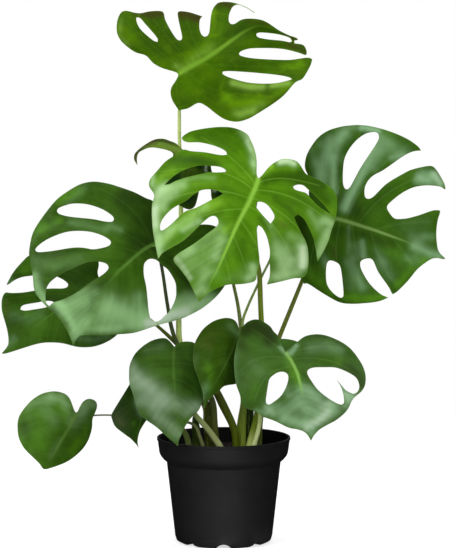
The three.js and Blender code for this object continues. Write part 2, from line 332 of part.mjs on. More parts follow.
// Centre lines of the petioles from the blade down into the soil, x, y, z and radius.
const PETIOLES = {
  top:
    [[-55, 1.5, 594.7, 2.1], [-56, 9, 573.9, 2.2], [-56.3, 12, 548.5, 2.2], [-56.3, 15, 512.9, 2.3],
    [-54.7, 17, 468.3, 2.6], [-54.5, 16, 423.6, 3], [-55.4, 15, 366.1, 3.1], [-57, 16, 308.2, 3.3],
    [-57.6, 16, 279.9, 3.6], [-56.8, 16, 256.7, 3.8], [-49.7, 16, 228.3, 4.1], [-37.5, 15, 198.7, 4.6],
    [-25.8, 14, 179.4, 5.1], [-21, 13, 166.6, 5.6], [-20.2, 12, 155.1, 6.2], [-18.4, 11, 138.4, 6.6],
    [-17, 10, 104.8, 6.6]],
  centre:
    [[44.7, -59.1, 463.8, 2.8], [42.9, -52, 452.3, 2.8], [39.3, -46, 435.8, 2.8], [37.1, -40, 416.6, 2.8],
    [37.2, -35, 396.2, 2.9], [39, -32, 378.4, 3], [42, -29, 361.7, 3], [44.9, -27, 346.4, 3.1],
    [45.9, -26, 328.6, 3.2], [46.7, -25, 305.7, 3.2], [47.9, -23, 280.1, 3.4], [49.3, -22, 245.6, 3.9],
    [48.4, -21, 209.7, 4.5], [45.9, -20, 181.5, 5.2], [43.1, -20, 159.7, 5.8], [39.3, -20, 143, 6.4],
    [35.5, -20, 126.3, 6.8], [33.5, -20, 109.6, 6.9]],
  right:
    [[131.9, 29.2, 412, 2.1], [129.5, 34, 404.6, 2.2], [121.4, 38, 383.8, 2.3], [111.2, 40, 357.8, 2.4],
    [100.7, 40, 330, 2.5], [85.9, 38, 293.2, 2.8], [73.5, 34, 263.1, 2.9], [64.3, 30, 239.6, 3.1],
    [56.2, 24, 210.5, 3.3], [50.5, 18, 178.9, 3.6], [46, 13, 147.2, 4.2], [44.7, 11, 104.7, 4.4]],
  left:
    [[-84.4, 1.1, 377.9, 1.9], [-83, 6, 370.6, 2], [-80.3, 9, 357.6, 2.1], [-77, 11, 338.2, 2.2],
    [-74, 12, 316.3, 2.3], [-71, 12, 297, 2.4], [-67.4, 10, 276.7, 2.7], [-61.5, 7, 257.7, 2.9],
    [-45.6, 3, 228.6, 3.3], [-26.5, 1, 197.9, 3.9], [-16.7, 0, 185.2, 4.3], [-12.9, -2, 172.6, 4.4],
    [-11.9, -3, 158.5, 4.4], [-10.6, -4, 138.1, 4.6], [-8.6, -4, 107.1, 4.7]],
  far_left:
    [[-159.1, 53, 330.2, 1.9], [-152.6, 53, 323.7, 1.9], [-134.5, 52, 310.1, 2], [-111, 48, 292.2, 2.1],
    [-85.7, 42, 272, 2.1], [-72, 38, 260.1, 2.5], [-51.3, 32, 240.7, 3.1], [-28, 26, 215.4, 3.9],
    [-16.4, 22, 200.4, 4.7], [-8.6, 19, 187.8, 5.2], [-0.9, 15, 172.8, 5.5], [5.5, 12, 160.3, 5.2],
    [10.6, 9.5, 149.6, 4.9], [14.7, 7, 136.4, 4.8], [16.4, 3, 106, 4.8]],
  back:
    [[-23, 8.3, 484.6, 1.8], [-22.3, 13.5, 478.6, 1.7], [-20.3, 23, 468.7, 1.8], [-16.3, 27, 456.4, 1.9],
    [-11.7, 33, 440.7, 2], [-3.8, 36, 407.1, 2], [5.5, 34, 364.7, 2.1], [13.2, 31, 324.3, 2.1],
    [17.5, 29, 304.4, 2.2], [20.7, 28, 283.8, 2.5], [22.8, 28, 261.8, 2.8], [24.8, 28, 229.5, 3],
    [26.1, 27, 197.1, 3.3], [24.8, 25, 171.4, 3.6], [21.7, 23, 152.2, 3.9], [19.9, 22, 131.5, 4.2],
    [19.4, 22, 102.9, 4.3]],
  young:
    [[73.8, 14, 426.3, 1.2], [71.9, 14, 405.8, 2], [66.8, 15, 378.9, 1.9], [58.6, 16, 358.3, 1.5],
    [49.3, 17, 339.6, 1.6], [40.1, 17, 320.3, 1.6], [29.8, 16, 297.3, 1.7], [24.2, 14, 280.1, 1.8],
    [27, 11, 250.8, 2], [30.5, 6, 216.6, 2.2], [31.1, 2, 181, 2.4], [30.1, 0, 145.2, 2.7], [29.2, -1, 106.6, 2.9]],
  low_far_left:
    [[-186.6, -5.9, 162.6, 1.1], [-183.2, 0, 160.9, 1.1], [-177, 14, 158.7, 1.1], [-164.7, 24, 158.2, 1.1],
    [-154.7, 30, 157.7, 1.1], [-144.5, 33, 157, 1.1], [-121.3, 34, 155.2, 1.2], [-95.3, 31, 153.7, 1.3],
    [-69.3, 24, 152.1, 1.4], [-52.3, 10, 151.8, 1.5], [-41.1, -6, 151.8, 1.8], [-34.7, -16, 147.6, 2],
    [-30.6, -20, 137.9, 2.2], [-26.3, -22, 124.1, 2.4], [-24.4, -22, 110, 2.4]],
  low_left_back:
    [[-98.9, 36.7, 193.3, 1.5], [-96.2, 40, 185, 1.5], [-87.7, 36, 173.8, 1.6], [-75.8, 26, 163.5, 1.9],
    [-63.9, 12, 154.4, 2.4], [-53.4, 0, 144.6, 3.2], [-46.2, -8, 132.2, 3.9], [-43, -10, 108, 4.2]],
  low_left:
    [[-62.1, -24.2, 247.1, 1.9], [-61.8, -18, 238.7, 1.9], [-59.3, -14, 221.6, 2], [-54.2, -16, 200.1, 2.4],
    [-45.9, -22, 180.5, 2.9], [-35.7, -27, 165.8, 3.3], [-26.8, -30, 156, 3.6], [-19.3, -31, 147.2, 3.8],
    [-12, -31, 137, 4], [-5.1, -31, 126.8, 4.1], [-0.2, -31, 111.4, 4.1]],
  low_middle:
    [[20.7, -24.6, 268.1, 1.9], [21.7, -20, 260.6, 1.9], [24.6, -14, 244.7, 2], [27.1, -10, 221.1, 2.2],
    [27.8, -10, 195.5, 2.5], [26.5, -10.5, 167.3, 2.8], [25.2, -9.5, 137.6, 3.1], [24.4, -8, 107.7, 3.3]],
  low_right:
    [[76.5, -53.8, 244.2, 1.9], [71.5, -46, 237, 1.9], [61.6, -40, 228.6, 2], [54.1, -36, 219.3, 2.1],
    [49.2, -33.5, 206.2, 2.3], [47.2, -34, 191, 2.5], [46.4, -35.5, 173.4, 2.6], [45.4, -37, 155.8, 2.7],
    [41.6, -38, 139.3, 2.8], [37.7, -38, 125.3, 2.9], [36.5, -38, 112.5, 2.9]],
  low_right_back:
    [[56.2, 8.2, 235.7, 1.1], [53.8, 17, 228.8, 1.2], [49.2, 22, 218.5, 1.6], [42.2, 27, 195.8, 2],
    [37.3, 29, 173.5, 2.8], [35.2, 29.5, 159.1, 3.6], [34.2, 30, 146, 4.2], [33.7, 30, 130.3, 4.4],
    [33.4, 30, 101.6, 4.4]],
  shoot:
    [[-38.9, 24, 158.3, 1.2], [-37.8, 23, 153.5, 2.8], [-36.5, 22, 147.2, 4.5], [-35.2, 21, 134.3, 5.3],
    [-34.7, 20, 118.8, 5.5], [-34.7, 20, 103.2, 5.5]],
};

// ---- surface of a leaf ----
function thinPlate(rows) {
  const n = rows.length, m = n + 3, S = 100;
  const P = rows.map(([x, z]) => [x / S, z / S]);
  const U = (a, b) => {
    const d = (a[0] - b[0]) ** 2 + (a[1] - b[1]) ** 2;
    return d < 1e-12 ? 0 : 0.5 * d * Math.log(d);
  };
  const A = Array.from({ length: m }, () => new Array(m + 1).fill(0));
  for (let i = 0; i < n; i++) {
    for (let j = 0; j < n; j++) A[i][j] = U(P[i], P[j]) + (i === j ? 0.002 : 0);
    A[i][n] = A[n][i] = 1;
    A[i][n + 1] = A[n + 1][i] = P[i][0];
    A[i][n + 2] = A[n + 2][i] = P[i][1];
    A[i][m] = rows[i][2];
  }
  for (let c = 0; c < m; c++) {
    let p = c;
    for (let r = c + 1; r < m; r++) if (Math.abs(A[r][c]) > Math.abs(A[p][c])) p = r;
    [A[c], A[p]] = [A[p], A[c]];
    for (let r = 0; r < m; r++) {
      if (r === c) continue;
      const f = A[r][c] / A[c][c];
      if (f) for (let k = c; k <= m; k++) A[r][k] -= f * A[c][k];
    }
  }
  const w = A.map((row, i) => row[m] / row[i]);
  return (x, z) => {
    const q = [x / S, z / S];
    let y = w[n] + w[n + 1] * q[0] + w[n + 2] * q[1];
    for (let i = 0; i < n; i++) y += w[i] * U(q, P[i]);
    return y;
  };
}

function distanceTo(line, x, z) {
  let best = Infinity;
  for (let i = 0; i + 1 < line.length; i++) {
    const [ax, az] = line[i], [bx, bz] = line[i + 1];
    const ux = bx - ax, uz = bz - az;
    const t = Math.min(1, Math.max(0, ((x - ax) * ux + (z - az) * uz) / (ux * ux + uz * uz)));
    best = Math.min(best, Math.hypot(x - ax - t * ux, z - az - t * uz));
  }
  return best;
}

function bladeSurface(leaf) {
  const depth = thinPlate(leaf.depth);
  return (x, z) => {
    const y = depth(x, z) + leaf.fold * Math.exp(-distanceTo(leaf.midrib, x, z) / 12);
    return new THREE.Vector3(x, 0, z).sub(EYE).multiplyScalar((y - EYE.y) / -EYE.y).add(EYE);
  };
}

// ---- triangulation of a flat outline with slots: ear clipping, then interior points, then edge flips ----
const cross = (a, b, c) => (b[0] - a[0]) * (c[1] - a[1]) - (b[1] - a[1]) * (c[0] - a[0]);

function triangulate(outline, holes, inner) {
  const V2 = (r) => r.map(([x, z]) => new THREE.Vector2(x, z));
  const pts = [outline, ...holes].flat().map((p) => [...p]);
  const tris = THREE.ShapeUtils.triangulateShape(V2(outline), holes.map(V2)).map((t) =>
    cross(pts[t[0]], pts[t[1]], pts[t[2]]) > 0 ? [...t] : [t[0], t[2], t[1]]);
  const fixed = new Set();
  let k = 0;
  for (const ring of [outline, ...holes]) {
    for (let i = 0; i < ring.length; i++) {
      const a = k + i, b = k + (i + 1) % ring.length;
      fixed.add(Math.min(a, b) + '_' + Math.max(a, b));
    }
    k += ring.length;
  }
  const inCircle = (a, b, c, d) => {
    const m = [a, b, c].map((p) => [p[0] - d[0], p[1] - d[1], (p[0] - d[0]) ** 2 + (p[1] - d[1]) ** 2]);
    return m[0][0] * (m[1][1] * m[2][2] - m[1][2] * m[2][1])
      - m[0][1] * (m[1][0] * m[2][2] - m[1][2] * m[2][0])
      + m[0][2] * (m[1][0] * m[2][1] - m[1][1] * m[2][0]);
  };
  const relax = () => {
    for (let pass = 0; pass < 60; pass++) {
      const edges = new Map();
      tris.forEach((t, i) => {
        for (let e = 0; e < 3; e++) {
          const a = t[e], b = t[(e + 1) % 3], key = Math.min(a, b) + '_' + Math.max(a, b);
          if (!edges.has(key)) edges.set(key, []);
          edges.get(key).push([i, t[(e + 2) % 3], a, b]);
        }
      });
      let flips = 0;
      const used = new Set();
      for (const [key, pair] of edges) {
        if (pair.length !== 2 || fixed.has(key)) continue;
        const [[i, c, a, b], [j, d]] = pair;
        if (used.has(i) || used.has(j)) continue;
        if (inCircle(pts[a], pts[b], pts[c], pts[d]) <= 1e-6) continue;
        if (cross(pts[c], pts[a], pts[d]) <= 1e-6 || cross(pts[d], pts[b], pts[c]) <= 1e-6) continue;
        tris[i] = [c, a, d];
        tris[j] = [d, b, c];
        used.add(i);
        used.add(j);
        flips++;
      }
      if (!flips) break;
    }
  };
  relax();
  for (const p of inner) {
    const at = tris.findIndex(([a, b, c]) => cross(pts[a], pts[b], p) > 0.5
      && cross(pts[b], pts[c], p) > 0.5 && cross(pts[c], pts[a], p) > 0.5);
    if (at < 0) continue;
    const [a, b, c] = tris[at], n = pts.push(p) - 1;
    tris[at] = [a, b, n];
    tris.push([b, c, n], [c, a, n]);
    relax();
  }
  return { pts, tris, rims: [outline.length, ...holes.map((h) => h.length)] };
}

const area2 = (r) => r.reduce((s, p, i) => {
  const q = r[(i + 1) % r.length];
  return s + p[0] * q[1] - q[0] * p[1];
}, 0);

function blade(leaf) {
  const surface = bladeSurface(leaf);
  const outline = area2(leaf.outline) > 0 ? leaf.outline : [...leaf.outline].reverse();
  const holes = leaf.holes.map((h) => (area2(h) < 0 ? h : [...h].reverse()));
  const rims = [outline, ...holes].map((r) => [...r, r[0]]);
  const clear = (x, z, d) => rims.every((r) => distanceTo(r, x, z) > d);
  const inside = (x, z) => {
    let c = false;
    for (const r of [outline, ...holes]) {
      for (let i = 0, j = r.length - 1; i < r.length; j = i++) {
        if (r[i][1] > z !== r[j][1] > z && x < ((r[j][0] - r[i][0]) * (z - r[i][1])) / (r[j][1] - r[i][1]) + r[i][0]) c = !c;
      }
    }
    return c;
  };
  const inner = leaf.midrib.slice(1, -1).filter(([x, z]) => inside(x, z) && clear(x, z, 2.5));
  const ribs = inner.length;
  const xs = outline.map((p) => p[0]), zs = outline.map((p) => p[1]);
  const x0 = Math.min(...xs), x1 = Math.max(...xs), z0 = Math.min(...zs), z1 = Math.max(...zs);
  let row = 0;
  for (let z = z0 + CELL / 3; z < z1; z += CELL * 0.866, row++) {
    for (let x = x0 + (row % 2 ? CELL / 2 : 0); x < x1; x += CELL) {
      if (!inside(x, z) || !clear(x, z, CELL * 0.42)) continue;
      if (inner.slice(0, ribs).some(([a, b]) => Math.hypot(a - x, b - z) < CELL * 0.55)) continue;
      inner.push([x, z]);
    }
  }
  const net = triangulate(outline, holes, inner);
  const n = net.pts.length;
  const mid = net.pts.map(([x, z]) => surface(x, z));
  const normal = net.pts.map(([x, z]) => {
    const du = surface(x + 2, z).sub(surface(x - 2, z)), dv = surface(x, z + 2).sub(surface(x, z - 2));
    return du.cross(dv).normalize();       // towards the front
  });
  const pos = [], idx = [];
  for (const side of [0.5, -0.5]) {
    mid.forEach((p, i) => {
      const q = p.clone().addScaledVector(normal[i], side * BLADE_T);
      pos.push(q.x, q.y, q.z);
    });
  }
  for (const [a, b, c] of net.tris) idx.push(a, b, c, n + a, n + c, n + b);
  let k = 0;
  for (const len of net.rims) {
    for (let i = 0; i < len; i++) {
      const a = k + i, b = k + (i + 1) % len;
      idx.push(a, n + a, n + b, a, n + b, b);
    }
    k += len;
  }
  const g = new THREE.BufferGeometry();
  g.setAttribute('position', new THREE.Float32BufferAttribute(pos, 3));
  g.setIndex(idx);
  return g;
}

// ---- petiole: a tapering tube along a smooth curve, closed at both ends ----
function petiole(rows, grow = 0, reach = 0) {
  const pts = rows.map(([x, y, z]) => new THREE.Vector3(x, y, z));
  const curve = new THREE.CatmullRomCurve3(pts, false, 'centripetal');
  const spans = pts.length - 1, stations = [];
  for (let i = 0; i < spans; i++) {
    stations.push(i);
    const len = pts[i].distanceTo(pts[i + 1]);
    if (len > 34) stations.push(i + 0.5);
  }
  stations.push(spans);
  const centre = stations.map((s) => curve.getPoint(s / spans));
  const tangent = stations.map((s) => curve.getTangent(s / spans));
  const radius = stations.map((s) => {
    const i = Math.min(spans - 1, Math.floor(s));
    return rows[i][3] + (rows[i + 1][3] - rows[i][3]) * (s - i) + grow;
  });
  if (reach) {
    const end = centre.length - 1;
    centre.push(centre[end].clone().addScaledVector(tangent[end], reach));
    tangent.push(tangent[end]);
    radius.push(radius[end]);
  }
  const pos = [], idx = [];
  const u = new THREE.Vector3(1, 0, 0);
  centre.forEach((c, i) => {
    u.addScaledVector(tangent[i], -u.dot(tangent[i])).normalize();
    const v = new THREE.Vector3().crossVectors(tangent[i], u);
    for (let k = 0; k < SIDES; k++) {
      const a = (2 * Math.PI * (k + 0.5)) / SIDES;
      const q = c.clone().addScaledVector(u, radius[i] * Math.cos(a)).addScaledVector(v, radius[i] * Math.sin(a));
      pos.push(q.x, q.y, q.z);
    }
  });
  const m = centre.length;
  for (let i = 0; i + 1 < m; i++) {
    for (let k = 0; k < SIDES; k++) {
      const a = i * SIDES + k, b = i * SIDES + (k + 1) % SIDES, c = a + SIDES, d = b + SIDES;
      idx.push(a, b, d, a, d, c);
    }
  }
  for (let k = 1; k + 1 < SIDES; k++) {
    idx.push(0, k + 1, k);
    idx.push((m - 1) * SIDES, (m - 1) * SIDES + k, (m - 1) * SIDES + k + 1);
  }
  const g = new THREE.BufferGeometry();
  g.setAttribute('position', new THREE.Float32BufferAttribute(pos, 3));
  g.setIndex(idx);
  return g;
}

// ---- joining and cutting ----
function solid(geometry) {
  const g = geometry.clone();
  g.deleteAttribute('normal');
  g.deleteAttribute('uv');
  const m = mergeVertices(g, 1e-4);
  return new wasm.Manifold(new wasm.Mesh({
    numProp: 3,
    vertProperties: new Float32Array(m.attributes.position.array),
    triVerts: new Uint32Array(m.index.array),
  }));
}

function geometryOf(manifold) {
  const mesh = manifold.getMesh();
  const g = new THREE.BufferGeometry();
  g.setAttribute('position', new THREE.BufferAttribute(new Float32Array(mesh.vertProperties), 3));
  g.setIndex(new THREE.BufferAttribute(new Uint32Array(mesh.triVerts), 1));
  return g;
}

function turned(profile) {
  // profile: [radius, height] pairs that begin and end on the axis, outside first
  const g = new THREE.LatheGeometry(profile.map(([r, z]) => new THREE.Vector2(r, z)), SEGS);
  g.rotateX(Math.PI / 2);
  return g;
}

// ---- pot: tapered body, wide collar, foot ring with drainage arches, central pad ----
const rimR = RIM_D / 2, collarR = COLLAR_D / 2, topR = BODY_TOP_D / 2, baseR = BODY_BASE_D / 2;
const inFloor = FLOOR_Z + FLOOR_T;
const potProfile = [
  [0, 0], [13, 0], [14.5, FLOOR_Z], [46, FLOOR_Z], [47.5, 0], [56.5, 0], [60.8, 2.2], [baseR, 8],
  [topR, 98], [topR + 0.5, 102.8], [77.4, 106.6], [80.8, 110.8], [collarR, 114.5], [rimR - 0.9, 130], [rimR, 131.2], [rimR, POT_H],
  [rimR - 2.8, POT_H], [79.6, 114.2], [74.8, 108.8], [topR - 1.6, 105.4], [topR - 2.2, 98], [baseR - 1.8, 13],
  [57.2, inFloor], [0, inFloor],
];
let pot = solid(turned(potProfile));
for (let i = 0; i < ARCHES; i++) {
  const g = new THREE.CylinderGeometry(ARCH_R, ARCH_R, 24, 20);
  g.rotateX(Math.PI / 2);
  g.translate(0, -56, -ARCH_DROP);
  g.rotateZ((2 * Math.PI * (i + 0.0)) / ARCHES);
  pot = pot.subtract(solid(g));
}
for (let i = 0; i < DRAIN_HOLES; i++) {
  const g = new THREE.CylinderGeometry(DRAIN_D / 2, DRAIN_D / 2, 20, 12);
  g.rotateX(Math.PI / 2);
  const a = (2 * Math.PI * (i + 0.5)) / DRAIN_HOLES;
  g.translate((DRAIN_PCD / 2) * Math.cos(a), (DRAIN_PCD / 2) * Math.sin(a), FLOOR_Z);
  pot = pot.subtract(solid(g));
}

// ---- soil: fills the pot up to 17 mm below the rim, with a socket for each stem ----
const soilProfile = [
  [0, inFloor + GAP], [57.2 - GAP, inFloor + GAP], [baseR - 1.8 - GAP, 13.2], [topR - 2.2 - GAP, 98],
  [topR - 1.6 - GAP, 105.7], [74.3, 109.3], [77.6, 113.0], [64, 115.2], [40, 116.6], [0, SOIL_TOP],
];
let soil = solid(turned(soilProfile));
for (const p of Object.values(PETIOLES)) soil = soil.subtract(solid(petiole(p, GAP + 0.1, 0.6)));

// ---- the plant ----
const part = new THREE.Group();
const finish = {
  pot: { color: 0x1a1a1c, roughness: 0.5, metalness: 0 },
  soil: { color: 0x2b1d14, roughness: 0.95, metalness: 0 },
  bright: { color: 0x4f8a1c, roughness: 0.42, metalness: 0 },
  dark: { color: 0x2f5a22, roughness: 0.42, metalness: 0 },
  stem: { color: 0x6f8a3c, roughness: 0.5, metalness: 0 },
};
function add(name, geometry, look) {
  const mesh = new THREE.Mesh(geometry, new THREE.MeshStandardMaterial(finish[look]));
  mesh.name = name;
  part.add(mesh);
}
add('pot', geometryOf(pot), 'pot');
add('soil', geometryOf(soil), 'soil');
for (const [name, leaf] of Object.entries(LEAVES)) add('leaf_' + name, blade(leaf), leaf.bright ? 'bright' : 'dark');
for (const [name, rows] of Object.entries(PETIOLES)) add('petiole_' + name, petiole(rows), 'stem');

export default part;
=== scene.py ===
# Potted monstera: the looks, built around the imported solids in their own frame.
# Leaves are drawn in millimetres as a front elevation on the plane y = 0, seen from a station point 3 m
# in front of the plant, and carried to their depth along the lines of sight.
import math
import random

import bmesh
import bpy
import numpy as np
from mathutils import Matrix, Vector
from mathutils.geometry import delaunay_2d_cdt

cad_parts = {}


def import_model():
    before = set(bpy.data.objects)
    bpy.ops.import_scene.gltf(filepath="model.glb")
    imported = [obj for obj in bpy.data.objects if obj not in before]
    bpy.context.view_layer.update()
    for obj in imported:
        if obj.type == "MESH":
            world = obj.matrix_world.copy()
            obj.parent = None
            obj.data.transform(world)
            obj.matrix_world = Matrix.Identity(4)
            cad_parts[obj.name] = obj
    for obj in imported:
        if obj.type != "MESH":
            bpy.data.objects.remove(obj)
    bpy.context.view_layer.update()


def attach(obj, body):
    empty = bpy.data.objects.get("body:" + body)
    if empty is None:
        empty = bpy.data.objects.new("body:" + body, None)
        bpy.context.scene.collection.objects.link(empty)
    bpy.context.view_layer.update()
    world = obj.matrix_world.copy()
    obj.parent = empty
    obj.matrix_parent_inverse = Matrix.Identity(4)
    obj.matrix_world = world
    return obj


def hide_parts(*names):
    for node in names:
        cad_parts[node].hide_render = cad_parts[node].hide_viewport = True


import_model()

MM = 0.001
EYE = np.array([5.5, -3000.0, 588.0])
BLADE_T = 0.5          # blade thickness
CELL = 3.0             # spacing of the blade's net
RIM_STEP = 1.7         # spacing along a margin

